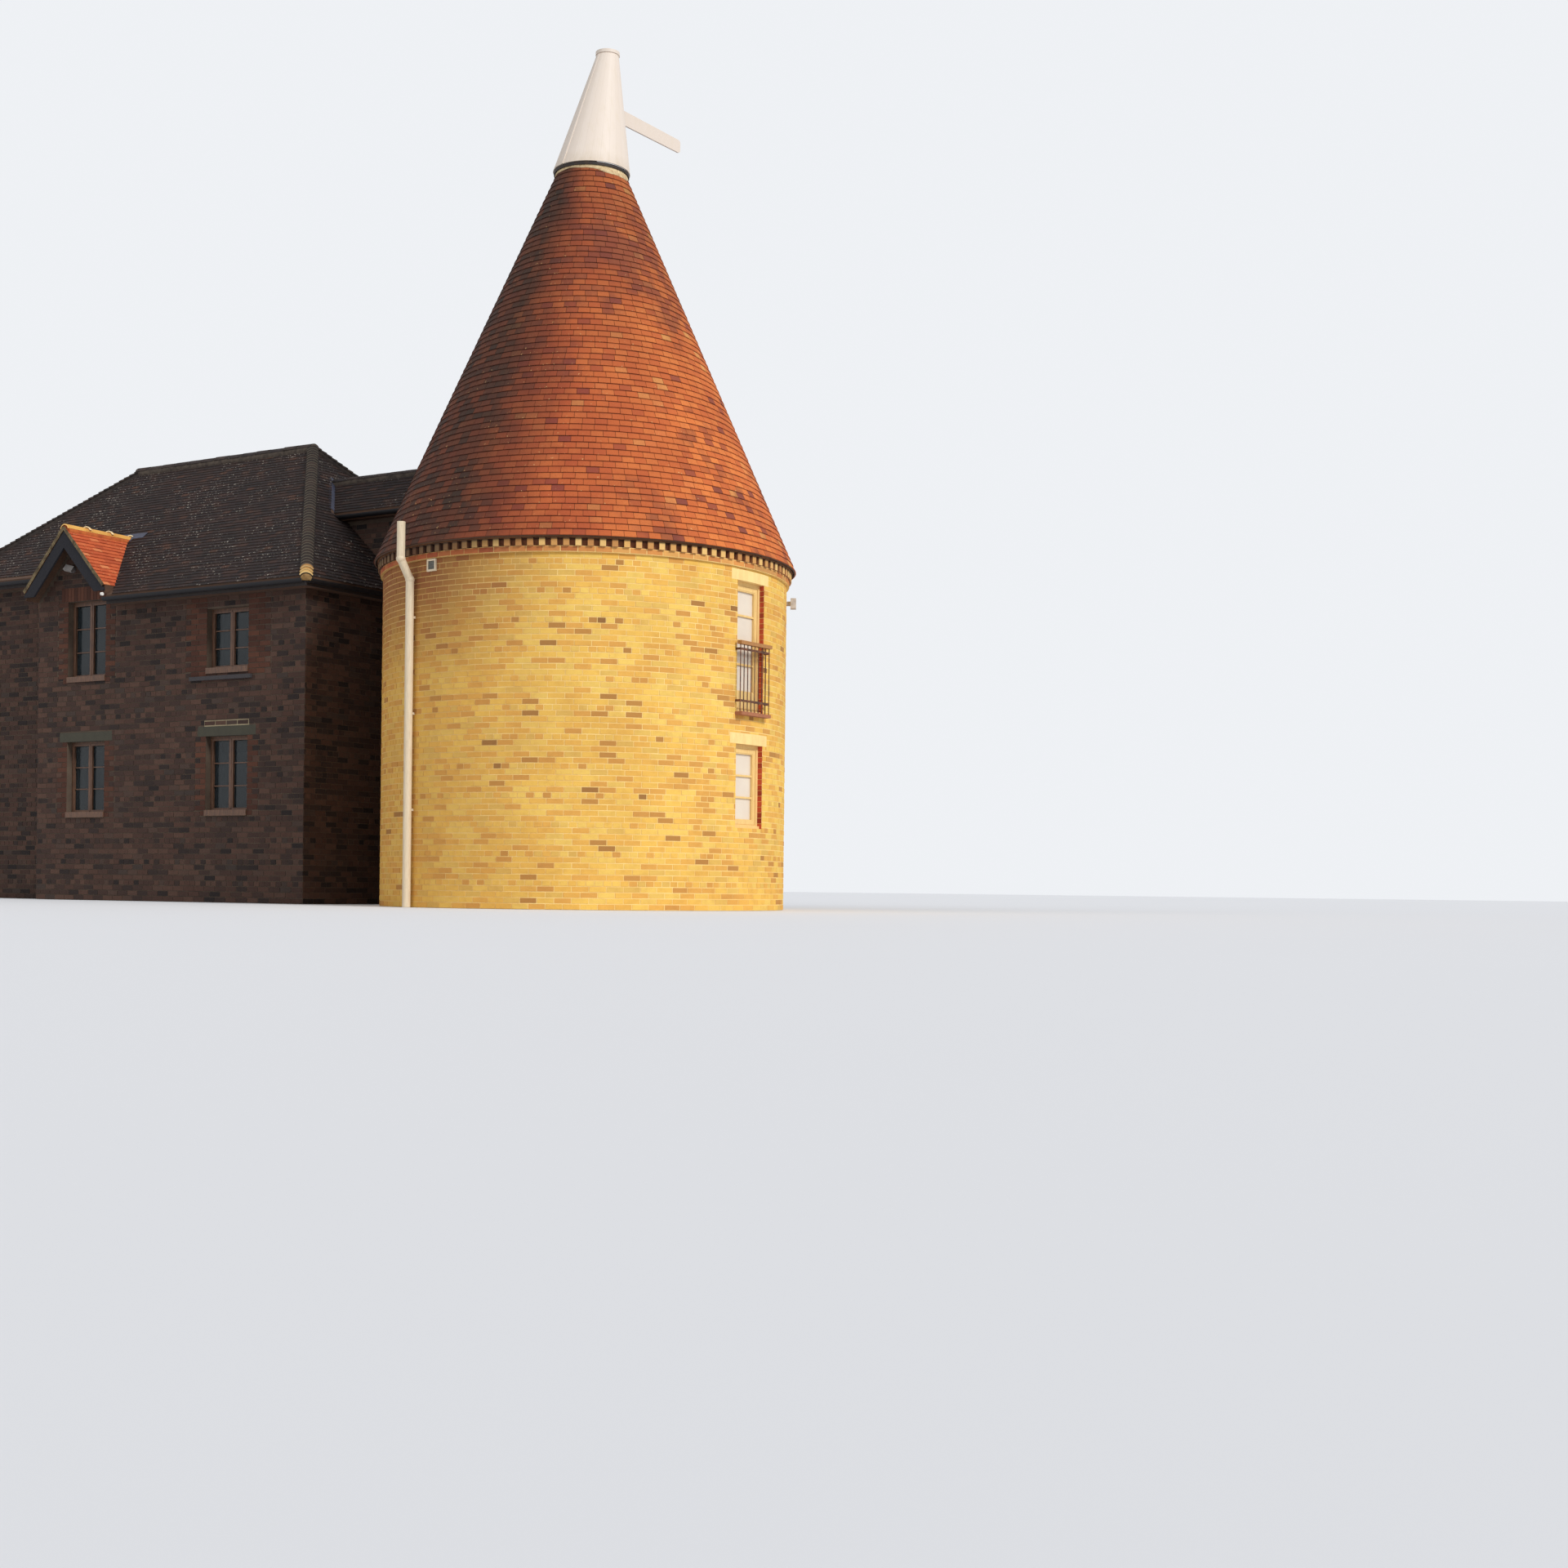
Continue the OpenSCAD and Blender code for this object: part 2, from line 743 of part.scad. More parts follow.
// Cross-section of a barn roof: tile edges, flat underside and the two slopes
module roof_section(half, edge_z, base_z, ridge_z, over) {
  outer = half + over;
  inner = outer - fascia_inset;
  polygon([
    [-inner, base_z], [inner, base_z], [inner, edge_z - tile_edge_t],
    [outer, edge_z - tile_edge_t], [outer, edge_z], [0, ridge_z], [-outer, edge_z],
    [-outer, edge_z - tile_edge_t], [-inner, edge_z - tile_edge_t]
  ]);
}

// The barn's roof as a solid mass, lowered by some height
module barn_roof_mass(lower, base) {
  over = barn_overhang;
  cut_x = barn_step_x - verge;
  far = far_half + over;
  difference() {
    intersection() {
      translate([barn_far_x - over, barn_ridge_y, 0])
        rotate([90, 0, 90])
          linear_extrude(barn_near_x - barn_far_x + 2 * over)
            roof_section(barn_half_depth, tile_edge_z - lower, barn_wall_height - base,
                         barn_ridge_z - lower, over);
      translate([0, barn_back_y + 2 * over, 0])
        rotate([90, 0, 0])
          linear_extrude(2 * barn_half_depth + 4 * over)
            polygon([
              [barn_far_x - over + fascia_inset, 0], [barn_near_x + over - fascia_inset, 0],
              [barn_near_x + over - fascia_inset, tile_edge_z - tile_edge_t - lower],
              [barn_near_x + over, tile_edge_z - tile_edge_t - lower],
              [barn_near_x + over, tile_edge_z - lower],
              [near_hip_x, barn_ridge_z - lower], [far_hip_x, barn_ridge_z - lower],
              [barn_far_x - over, far_edge_z - lower],
              [barn_far_x - over, far_edge_z - tile_edge_t - lower],
              [barn_far_x - over + fascia_inset, far_edge_z - tile_edge_t - lower]
            ]);
    }
    block(barn_far_x - 2 * over, cut_x, barn_front_y - 2 * over, barn_back_y + 2 * over, 0,
          far_wall_height - base);
    for (s = [0, 1])
      translate([0, barn_ridge_y, 0])
        mirror([0, s, 0]) {
          block(barn_far_x - 2 * over, cut_x, far, far + 4 * over + barn_step, 0,
                2 * barn_ridge_z);
          block(barn_far_x - 2 * over, cut_x, far - fascia_inset, far + past, 0,
                far_edge_z - tile_edge_t - lower);
        }
  }
}

// The rooms' plan, between two heights
module barn_inside(z0, z1, gap) {
  w = barn_wall + gap;
  block(barn_step_x + w, barn_near_x - w, barn_front_y + w, barn_back_y - w, z0, z1);
  block(barn_far_x + w, barn_step_x + 2 * barn_wall, barn_ridge_y - far_half + w,
        barn_ridge_y + far_half - w, z0, z1);
}

// The small gable's roof as a solid mass, running back into the barn's roof
module gable_mass(lower, base_z, y0, y1) {
  foot = gable_ridge_z - gable_half * gable_slope - lower;
  translate([-gable_x, y1, 0])
    rotate([90, 0, 0])
      linear_extrude(y1 - y0)
        polygon([
          [-gable_half, base_z], [gable_half, base_z], [gable_half, foot],
          [0, gable_ridge_z - lower], [-gable_half, foot]
        ]);
}

// The small gable's wall, up to the underside of its roof
module gable_wall(y0, y1) {
  top = gable_ridge_z - gable_roof_t - fit;
  foot = top - gable_wall_half * gable_slope;
  translate([-gable_x, y1, 0])
    rotate([90, 0, 0])
      linear_extrude(y1 - y0)
        polygon([
          [-gable_wall_half, barn_wall_height - 1], [gable_wall_half, barn_wall_height - 1],
          [gable_wall_half, foot], [0, top], [-gable_wall_half, foot]
        ]);
}

// The space in front of the wall where the barn's eaves stop for the small gable
module gable_gap(side) {
  block(-gable_x - gable_half - 2 * past, -gable_x + gable_half + side,
        barn_front_y - 4 * past - barn_overhang, barn_front_y,
        barn_wall_height - past, barn_ridge_z);
}

// The space where the link's walls stop the barn's eaves boards and gutter
module link_gap(side) {
  block(barn_near_x, barn_near_x + barn_overhang + 4 * past, link_front_y - side,
        link_back_y + side, barn_wall_height - past, tile_edge_z - tile_edge_t);
}

module window_hole(x, z0, z1, y0, y1) {
  block(-x - barn_window_w / 2, -x + barn_window_w / 2, y0 - past, y1 + past, z0, z1);
}

// A lintel over a ground floor opening, standing a little proud of the face at y
module barn_lintel(x, w, z, y, face) {
  half = w / 2 + lintel_bearing + 50;
  y0 = face < 0 ? y - lintel_proud : y - lintel_depth;
  block(-x - half, -x + half, y0, y0 + lintel_depth + lintel_proud, z, z + lintel_h);
}

module slate_shape() {
  top = barn_upper_z0 - course / 2;
  block(-near_window_x - barn_window_w / 2 - slate_side,
        -near_window_x + barn_window_w / 2 + slate_near_side,
        barn_front_y - slate_out, barn_front_y + lintel_depth, top - slate_h, top);
}

module all_barn_lintels() {
  barn_lintel(near_window_x, barn_window_w, barn_lower_z1, barn_front_y, -1);
  barn_lintel(gable_window_x, barn_window_w, barn_lower_z1, barn_front_y, -1);
  barn_lintel(near_window_x, barn_window_w, barn_lower_z1, barn_back_y, 1);
  barn_lintel(gable_window_x, door_w, barn_slab + door_h, barn_back_y, 1);
}

module barn_front_wall() {
  y1 = barn_front_y + barn_wall;
  color("brown")
    difference() {
      union() {
        block(barn_step_x, barn_near_x, barn_front_y, y1, 0, barn_wall_height);
        gable_wall(barn_front_y, y1);
      }
      window_hole(gable_window_x, barn_upper_z0, gable_window_z1, barn_front_y, y1);
      window_hole(near_window_x, barn_upper_z0, barn_upper_z1, barn_front_y, y1);
      window_hole(near_window_x, barn_lower_z0, barn_lower_z1, barn_front_y, y1);
      window_hole(gable_window_x, barn_lower_z0, barn_lower_z1, barn_front_y, y1);
      all_barn_lintels();
      slate_shape();
    }
}

module barn_back_wall() {
  y0 = barn_back_y - barn_wall;
  color("brown")
    difference() {
      block(barn_step_x, barn_near_x, y0, barn_back_y, 0, barn_wall_height);
      for (x = [gable_window_x, near_window_x])
        window_hole(x, barn_upper_z0, barn_upper_z1, y0, barn_back_y);
      window_hole(near_window_x, barn_lower_z0, barn_lower_z1, y0, barn_back_y);
      block(-gable_window_x - door_w / 2, -gable_window_x + door_w / 2, y0 - past,
            barn_back_y + past, barn_slab, barn_slab + door_h);
      all_barn_lintels();
    }
}

module barn_hip_wall() {
  color("brown")
    block(barn_near_x - barn_wall, barn_near_x, barn_front_y + barn_wall,
          barn_back_y - barn_wall, 0, barn_wall_height);
}

// Walls of the narrower part: both sides, the far end, and the steps in the plan
module barn_far_walls() {
  y0 = barn_ridge_y - far_half;
  y1 = barn_ridge_y + far_half;
  color("brown")
    difference() {
      union() {
        block(barn_far_x, barn_step_x, y0, y1, 0, far_wall_height);
        block(barn_step_x - 1, barn_step_x + barn_wall, barn_front_y + barn_wall,
              y0 + barn_wall, 0, barn_wall_height);
        block(barn_step_x - 1, barn_step_x + barn_wall, y1 - barn_wall,
              barn_back_y - barn_wall, 0, barn_wall_height);
      }
      block(barn_far_x + barn_wall, barn_step_x + 2 * barn_wall, y0 + barn_wall,
            y1 - barn_wall, -past, far_wall_height + past);
      block(barn_step_x - past, barn_step_x, barn_front_y, y0, -past, barn_ridge_z);
      block(barn_step_x - past, barn_step_x, y1, barn_back_y, -past, barn_ridge_z);
    }
}

module barn_ground_floor() {
  color("lightgrey") barn_inside(0, barn_slab, 0);
}

module barn_upper_floor() {
  color("burlywood") barn_inside(barn_floor_z - barn_floor_t, barn_floor_z, 0);
}

// The empty space under the barn's roof over one part of its plan
module roof_space(x0, x1, y0, y1) {
  intersection() {
    translate([0, 0, -barn_roof_t])
      rotate([90, 0, 90])
        translate([barn_ridge_y, 0, barn_far_x - barn_overhang])
          linear_extrude(barn_near_x - barn_far_x + 2 * barn_overhang)
            polygon([
              [-barn_half_depth - barn_overhang, 0], [barn_half_depth + barn_overhang, 0],
              [barn_half_depth + barn_overhang, tile_edge_z], [0, barn_ridge_z],
              [-barn_half_depth - barn_overhang, tile_edge_z]
            ]);
    translate([0, barn_back_y, -barn_roof_t])
      rotate([90, 0, 0])
        linear_extrude(2 * barn_half_depth)
          polygon([
            [barn_far_x - barn_overhang, 0], [barn_near_x + barn_overhang, 0],
            [barn_near_x + barn_overhang, tile_edge_z], [near_hip_x, barn_ridge_z],
            [far_hip_x, barn_ridge_z], [barn_far_x - barn_overhang, far_edge_z]
          ]);
    block(x0, x1, y0, y1, barn_wall_height - 2 * past, barn_ridge_z);
  }
}

module barn_roof() {
  y0 = barn_ridge_y - far_half;
  y1 = barn_ridge_y + far_half;
  color("sienna")
    difference() {
      barn_roof_mass(0, 0);
      roof_space(barn_step_x + barn_wall, barn_near_x - barn_wall, barn_front_y + barn_wall,
                 barn_back_y - barn_wall);
      roof_space(barn_far_x + barn_wall, barn_step_x + 2 * barn_wall, y0 + barn_wall,
                 y1 - barn_wall);
      block(barn_far_x, barn_step_x, y0, y1, 0, far_wall_height);
      gable_wall(barn_front_y - 2 * past, barn_front_y + barn_wall);
      gable_gap(0);
    }
}

// Boards that close the ends of the rafters under the tile edges
module eaves_frame(x0, x1, half, z0, z1) {
  o = half + barn_overhang - fascia_inset;
  difference() {
    block(x0 - fascia_t, x1 + fascia_t, barn_ridge_y - o - fascia_t,
          barn_ridge_y + o + fascia_t, z0, z1);
    block(x0, x1, barn_ridge_y - o, barn_ridge_y + o, z0 - past, z1 + past);
  }
}

module barn_eaves_boards() {
  o = barn_overhang - fascia_inset;
  color("dimgray") {
    difference() {
      eaves_frame(barn_step_x - verge, barn_near_x + o, barn_half_depth, barn_wall_height,
                  tile_edge_z - tile_edge_t);
      block(barn_step_x - verge - 2 * past, barn_step_x - verge, barn_front_y - barn_overhang,
            barn_back_y + barn_overhang, 0, barn_ridge_z);
      gable_gap(0);
      link_gap(0);
    }
    difference() {
      eaves_frame(barn_far_x - o, barn_step_x - verge, far_half, far_wall_height,
                  far_edge_z - tile_edge_t);
      block(barn_step_x - verge, barn_step_x + past, barn_front_y - barn_overhang,
            barn_back_y + barn_overhang, 0, barn_ridge_z);
    }
  }
}

// A half-round gutter along +X, its back against the eaves board at y = 0
module gutter(length) {
  rotate([90, 0, 90])
    linear_extrude(length)
      difference() {
        translate([-gutter_r + 6, 0]) circle(r = gutter_r);
        translate([-gutter_r + 6, 0]) circle(r = gutter_r - gutter_t);
        translate([-3 * gutter_r, 0]) square([4 * gutter_r, 2 * gutter_r]);
        translate([0, -2 * gutter_r]) square([gutter_r, 3 * gutter_r]);
      }
}

module barn_gutters() {
  o = barn_overhang - fascia_inset + fascia_t;
  z = tile_edge_z - tile_edge_t - 4;
  zf = far_edge_z - tile_edge_t - 4;
  x0 = -gable_x + gable_half;
  side = 2 * (barn_half_depth + o);
  color("black") {
    translate([x0, barn_front_y - o, z]) gutter(barn_near_x + o - x0);
    translate([barn_near_x + o, barn_back_y + o, z])
      rotate([0, 0, 180]) gutter(barn_near_x + o - barn_step_x + verge);
    difference() {
      translate([barn_near_x + o, barn_front_y - o, z]) rotate([0, 0, 90]) gutter(side);
      link_gap(0);
    }
    translate([barn_far_x - o, barn_ridge_y - far_half - o, zf])
      gutter(barn_step_x - verge - barn_far_x + o);
    translate([barn_step_x - verge, barn_ridge_y + far_half + o, zf])
      rotate([0, 0, 180]) gutter(barn_step_x - verge - barn_far_x + o);
    translate([barn_far_x - o, barn_ridge_y + far_half + o, zf])
      rotate([0, 0, -90]) gutter(2 * (far_half + o));
  }
}

// A round rod between two points
module rod(a, b, r) {
  d = b - a;
  length = norm(d);
  translate(a)
    rotate([0, acos(d[2] / length), atan2(d[1], d[0])]) cylinder(r = r, h = length);
}

module barn_ridge_tiles() {
  sink = ridge_tile_r * 0.45;
  color("peru")
    difference() {
      rod([far_hip_x - past, barn_ridge_y, barn_ridge_z - sink],
          [near_hip_x + past, barn_ridge_y, barn_ridge_z - sink], ridge_tile_r);
      barn_roof_mass(0, 0);
    }
}

// One hip's run of round tiles, from the tile edge up to the ridge
module hip_run(x, y, z, top_x) {
  r = ridge_tile_r * 0.85;
  sink = r * 0.55;
  difference() {
    rod([x, y, z - sink], [top_x, barn_ridge_y, barn_ridge_z - sink], r);
    barn_roof_mass(0, 0);
    link_mass(-2 * flashing_t, link_wall_height);
    translate([0, 0, z - tile_edge_t - 4 * r])
      block(x - 4 * r, x + 4 * r, y - 4 * r, y + 4 * r, 0, 4 * r);
    rod([far_hip_x - past, barn_ridge_y, barn_ridge_z - ridge_tile_r * 0.45],
        [near_hip_x + past, barn_ridge_y, barn_ridge_z - ridge_tile_r * 0.45],
        ridge_tile_r + fit);
  }
}

module barn_hip_tiles() {
  o = barn_half_depth + barn_overhang;
  f = far_half + barn_overhang;
  color("chocolate")
    for (s = [-1, 1]) {
      hip_run(barn_near_x + barn_overhang, barn_ridge_y + s * o, tile_edge_z, near_hip_x);
      hip_run(barn_far_x - barn_overhang, barn_ridge_y + s * f, far_edge_z, far_hip_x);
    }
}

module gable_roof() {
  color("chocolate")
    difference() {
      gable_mass(0, barn_wall_height, gable_front_y, barn_ridge_y);
      gable_mass(gable_roof_t, barn_wall_height - past, gable_front_y - past, barn_ridge_y);
      block(-gable_x - gable_half - past, -gable_x + gable_half + past, gable_front_y - past,
            barn_ridge_y + past, 0, gable_eaves_z - gable_roof_t);
      intersection() {
        barn_roof_mass(0, 0);
        block(barn_far_x, barn_near_x, barn_front_y, barn_back_y, 0, barn_ridge_z);
      }
      block(barn_far_x, barn_step_x + fit, barn_ridge_y - far_half - fit, barn_back_y, 0,
            far_wall_height + fit);
    }
}

module gable_ridge_tiles() {
  sink = gable_tile_r * 0.5;
  color("goldenrod")
    difference() {
      rod([-gable_x, gable_front_y, gable_ridge_z - sink],
          [-gable_x, barn_ridge_y, gable_ridge_z - sink], gable_tile_r);
      gable_mass(0, 0, gable_front_y - past, barn_ridge_y + past);
      barn_roof_mass(0, 0);
    }
}

// A pair of boards that meet under the ridge, with level feet at the eaves
module gable_bargeboards() {
  peak = gable_ridge_z - bargeboard_drop;
  nose = gable_eaves_z - bargeboard_drop;
  foot = nose - bargeboard_nose;
  inner = (peak - bargeboard_h - foot) / gable_slope;
  color("slategray")
    translate([-gable_x, gable_front_y, 0])
      rotate([90, 0, 0])
        linear_extrude(bargeboard_t)
          polygon([
            [-gable_half, nose], [0, peak], [gable_half, nose], [gable_half, foot],
            [inner, foot], [0, peak - bargeboard_h], [-inner, foot], [-gable_half, foot]
          ]);
}

// Small round lamp on the gable wall
module gable_lamp() {
  color("dimgray")
    translate([-gable_x - lamp_r * 1.6, barn_front_y, gable_eaves_z + lamp_up])
      rotate([90, 0, 0]) {
        cylinder(r = lamp_r, h = 30);
        translate([0, 0, 30]) cylinder(r = lamp_r * 0.75, h = 60);
      }
}

module barn_lintels() {
  color("wheat") all_barn_lintels();
}

// A window of two lights, set back from the face at y; face is -1 or 1
module barn_window(x, z0, z1, y, face) {
  half = barn_window_w / 2;
  ya = face < 0 ? y + reveal : y - reveal - frame_depth;
  yb = ya + frame_depth;
  color("saddlebrown") {
    difference() {
      block(-x - half, -x + half, ya, yb, z0, z1);
      for (s = [-1, 1])
        translate([-x + s * (half + mullion / 2 - frame_bar) / 2, 0, 0])
          block(-(half - frame_bar - mullion / 2) / 2, (half - frame_bar - mullion / 2) / 2,
                ya - past, yb + past, z0 + sill_h, z1 - frame_bar);
    }
    if (face < 0)
      block(-x - half, -x + half, y - timber_sill_out, ya, z0, z0 + sill_h * 0.8);
    else
      block(-x - half, -x + half, yb, y + timber_sill_out, z0, z0 + sill_h * 0.8);
  }
}

module barn_panes(x, z0, z1, y, face) {
  half = barn_window_w / 2;
  ya = (face < 0 ? y + reveal : y - reveal - frame_depth) + (frame_depth - glass_t) / 2;
  for (s = [-1, 1])
    translate([-x + s * (half + mullion / 2 - frame_bar) / 2, 0, 0])
      block(-(half - frame_bar - mullion / 2) / 2, (half - frame_bar - mullion / 2) / 2,
            ya, ya + glass_t, z0 + sill_h, z1 - frame_bar);
}

module barn_upper_windows() {
  barn_window(gable_window_x, barn_upper_z0, gable_window_z1, barn_front_y, -1);
  barn_window(near_window_x, barn_upper_z0, barn_upper_z1, barn_front_y, -1);
  barn_window(gable_window_x, barn_upper_z0, barn_upper_z1, barn_back_y, 1);
  barn_window(near_window_x, barn_upper_z0, barn_upper_z1, barn_back_y, 1);
}

module barn_lower_windows() {
  barn_window(gable_window_x, barn_lower_z0, barn_lower_z1, barn_front_y, -1);
  barn_window(near_window_x, barn_lower_z0, barn_lower_z1, barn_front_y, -1);
  barn_window(near_window_x, barn_lower_z0, barn_lower_z1, barn_back_y, 1);
}

module barn_glass() {
  color("lightblue") {
    barn_panes(gable_window_x, barn_upper_z0, gable_window_z1, barn_front_y, -1);
    barn_panes(near_window_x, barn_upper_z0, barn_upper_z1, barn_front_y, -1);
    barn_panes(gable_window_x, barn_upper_z0, barn_upper_z1, barn_back_y, 1);
    barn_panes(near_window_x, barn_upper_z0, barn_upper_z1, barn_back_y, 1);
    barn_panes(gable_window_x, barn_lower_z0, barn_lower_z1, barn_front_y, -1);
    barn_panes(near_window_x, barn_lower_z0, barn_lower_z1, barn_front_y, -1);
    barn_panes(near_window_x, barn_lower_z0, barn_lower_z1, barn_back_y, 1);
  }
}

module barn_slate_sill() {
  color("slategray") slate_shape();
}

module rear_door() {
  y0 = barn_back_y - reveal - frame_depth;
  half = door_w / 2;
  z0 = barn_slab;
  color("saddlebrown") {
    difference() {
      block(-gable_window_x - half, -gable_window_x + half, y0, y0 + frame_depth, z0,
            z0 + door_h);
      block(-gable_window_x - half + frame_bar, -gable_window_x + half - frame_bar,
            y0 + frame_depth - 20, y0 + frame_depth + past, z0 - past,
            z0 + door_h - frame_bar);
    }
  }
}

module link_section(lower, base_z) {
  outer = link_half + link_overhang;
  inner = outer - fascia_inset;
  edge = link_edge_z - lower;
  polygon([
    [-inner, base_z], [inner, base_z], [inner, edge - tile_edge_t],
    [outer, edge - tile_edge_t], [outer, edge], [0, link_ridge_z - lower], [-outer, edge],
    [-outer, edge - tile_edge_t], [-inner, edge - tile_edge_t]
  ]);
}

// The link's roof as a solid mass, from inside the barn's roof to the kiln's axis
module link_mass(lower, base_z) {
  translate([near_hip_x - 2 * past, link_ridge_y, 0])
    rotate([90, 0, 90]) linear_extrude(-near_hip_x + 2 * past) link_section(lower, base_z);
}

module link_wall(y0) {
  color("brown")
    difference() {
      block(near_hip_x, 0, y0, y0 + link_wall_t, 0, link_wall_height);
      barn_roof_mass(0, 0);
      block(barn_far_x, barn_near_x, barn_front_y, barn_back_y, -past, barn_wall_height);
      kiln_mass(fit);
    }
}

module link_front_wall() {
  link_wall(link_front_y);
}

module link_back_wall() {
  link_wall(link_back_y - link_wall_t);
}

module link_roof() {
  color("sienna")
    difference() {
      link_mass(0, link_wall_height);
      intersection() {
        link_mass(link_roof_t, link_wall_height - past);
        block(near_hip_x - 4 * past, past, link_front_y + link_wall_t,
              link_back_y - link_wall_t, 0, barn_ridge_z);
      }
      barn_roof_mass(0, 0);
      kiln_mass(fit);
    }
}

module link_ridge_tiles() {
  sink = gable_tile_r * 0.5;
  color("peru")
    difference() {
      rod([near_hip_x, link_ridge_y, link_ridge_z - sink], [0, link_ridge_y, link_ridge_z - sink],
          gable_tile_r);
      link_mass(0, 0);
      barn_roof_mass(-flashing_t, 0);
      kiln_mass(fit);
    }
}

module link_gutters() {
  o = link_overhang - fascia_inset;
  color("black")
    difference() {
      union() {
        translate([near_hip_x, link_front_y - o, link_edge_z - tile_edge_t - 4])
          gutter(-near_hip_x);
        translate([0, link_back_y + o, link_edge_z - tile_edge_t - 4])
          rotate([0, 0, 180]) gutter(-near_hip_x);
      }
      barn_roof_mass(-flashing_t - 5, 0);
      kiln_mass(fit);
    }
}

// Lead strips that seal the link's roof against the barn's hip slope
module link_flashing() {
  color("lightslategray")
    difference() {
      intersection() {
        barn_roof_mass(-flashing_t, 0);
        link_mass(-flashing_w, link_wall_height);
        block(near_hip_x, barn_near_x, barn_front_y, barn_back_y, link_wall_height,
              barn_ridge_z);
      }
      barn_roof_mass(0, 0);
      link_mass(0, 0);
    }
}

module kiln_wall_front() {
  kiln_wall_plain(-1);
}

module kiln_wall_front_left() {
  kiln_wall_plain(-2);
}

module kiln_wall_barn_side() {
  kiln_wall_plain(-3);
}

module kiln_wall_back_left() {
  kiln_wall_plain(2);
}

module kiln_wall_back_right() {
  kiln_wall_plain(1);
}

kiln_wall_window_side();
kiln_wall_front();
kiln_wall_front_left();
kiln_wall_barn_side();
kiln_wall_back_left();
kiln_wall_back_right();
kiln_lower_band();
kiln_dentil_course();
kiln_upper_band();
kiln_ground_floor();
kiln_upper_floor();
kiln_roof();
kiln_curb_ring();
cowl_bearing_bar();
cowl_foot_beam();
kiln_lintels();
kiln_upper_window();
kiln_lower_window();
kiln_glass();
balcony_sill();
balcony_railing();
balcony_handrail();
wall_vent();
floodlight();
vent_pipe();
cowl_shell();
cowl_cap();
cowl_arms();
cowl_post();
cowl_vane();
barn_front_wall();
barn_far_walls();
barn_back_wall();
barn_hip_wall();
barn_ground_floor();
barn_upper_floor();
barn_roof();
barn_ridge_tiles();
barn_hip_tiles();
barn_eaves_boards();
barn_gutters();
gable_roof();
gable_ridge_tiles();
gable_bargeboards();
gable_lamp();
barn_lintels();
barn_upper_windows();
barn_lower_windows();
barn_glass();
barn_slate_sill();
rear_door();
link_front_wall();
link_back_wall();
link_roof();
link_ridge_tiles();
link_gutters();
link_flashing();
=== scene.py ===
# %% [markdown]
# # An oast house in Blender
# An oast house is a farm building for drying hops. The round tower is the kiln. Warm air rose through
# the hops inside it and left by the white cowl on top, and the cowl turned its back to the wind.
# The solids of the house come ready made and stay where they are. This lesson lays bricks and tiles
# over them, gives every surface a finish made from nodes, and lights the whole for a picture.

# %% The frame
import math
import random

import bpy
from mathutils import Matrix, Vector


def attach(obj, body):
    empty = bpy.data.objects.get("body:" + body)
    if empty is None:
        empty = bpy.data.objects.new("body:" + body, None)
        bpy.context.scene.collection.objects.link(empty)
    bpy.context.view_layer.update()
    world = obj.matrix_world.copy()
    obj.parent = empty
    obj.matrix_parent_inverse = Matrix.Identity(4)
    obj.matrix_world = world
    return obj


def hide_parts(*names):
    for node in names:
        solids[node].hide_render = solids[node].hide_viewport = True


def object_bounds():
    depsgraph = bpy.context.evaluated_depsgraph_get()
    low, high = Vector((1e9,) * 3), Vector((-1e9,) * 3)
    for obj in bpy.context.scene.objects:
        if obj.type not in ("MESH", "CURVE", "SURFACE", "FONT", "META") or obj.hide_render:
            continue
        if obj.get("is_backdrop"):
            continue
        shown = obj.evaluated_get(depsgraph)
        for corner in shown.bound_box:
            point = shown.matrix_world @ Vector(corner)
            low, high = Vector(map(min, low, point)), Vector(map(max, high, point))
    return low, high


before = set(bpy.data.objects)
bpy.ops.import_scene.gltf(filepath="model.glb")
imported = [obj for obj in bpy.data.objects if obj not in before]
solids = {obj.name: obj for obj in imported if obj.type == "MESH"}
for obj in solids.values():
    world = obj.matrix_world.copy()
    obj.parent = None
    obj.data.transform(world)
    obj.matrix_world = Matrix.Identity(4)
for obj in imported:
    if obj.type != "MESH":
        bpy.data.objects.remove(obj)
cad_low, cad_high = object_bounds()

print("solids:", len(solids), "box:", [round(v, 3) for v in cad_low], [round(v, 3) for v in cad_high])

# %% [markdown]
# ## The camera
# The view is taken from almost ground level, with the lens level and a very small tilt to one side.
# A level lens keeps the walls upright. The picture still reaches the cowl, because the lens is
# shifted up, as on a view camera. Tilting the camera up instead would make the walls lean.

# %% The camera
LENS_MM, SENSOR_MM, SHIFT_UP, ROLL, FAR_CLIP = 45.81, 36, 0.0669, 0.0115, 500
STANDS_AT, LOOKS_ALONG = (17.17, -22.92, 0.30), (-0.5165, 0.8563, 0)


def add_object(name, data, turn=None):
    """Puts data into the scene as an object, turned by a quaternion where one is given."""
    made = bpy.data.objects.new(name, data)
    bpy.context.scene.collection.objects.link(made)
    if turn is not None:
        made.rotation_mode, made.rotation_quaternion = "QUATERNION", turn
    return made


lens = bpy.data.cameras.new("low_camera")
lens.lens, lens.sensor_width, lens.shift_y, lens.clip_end = LENS_MM, SENSOR_MM, SHIFT_UP, FAR_CLIP
look = Vector(LOOKS_ALONG).to_track_quat("-Z", "Y")
camera = add_object("low_camera", lens, look @ Matrix.Rotation(ROLL, 3, "Z").to_quaternion())
camera.location = STANDS_AT
bpy.context.scene.camera = camera
print("camera", round(camera.location.xy.length, 2), "m from the kiln's axis")

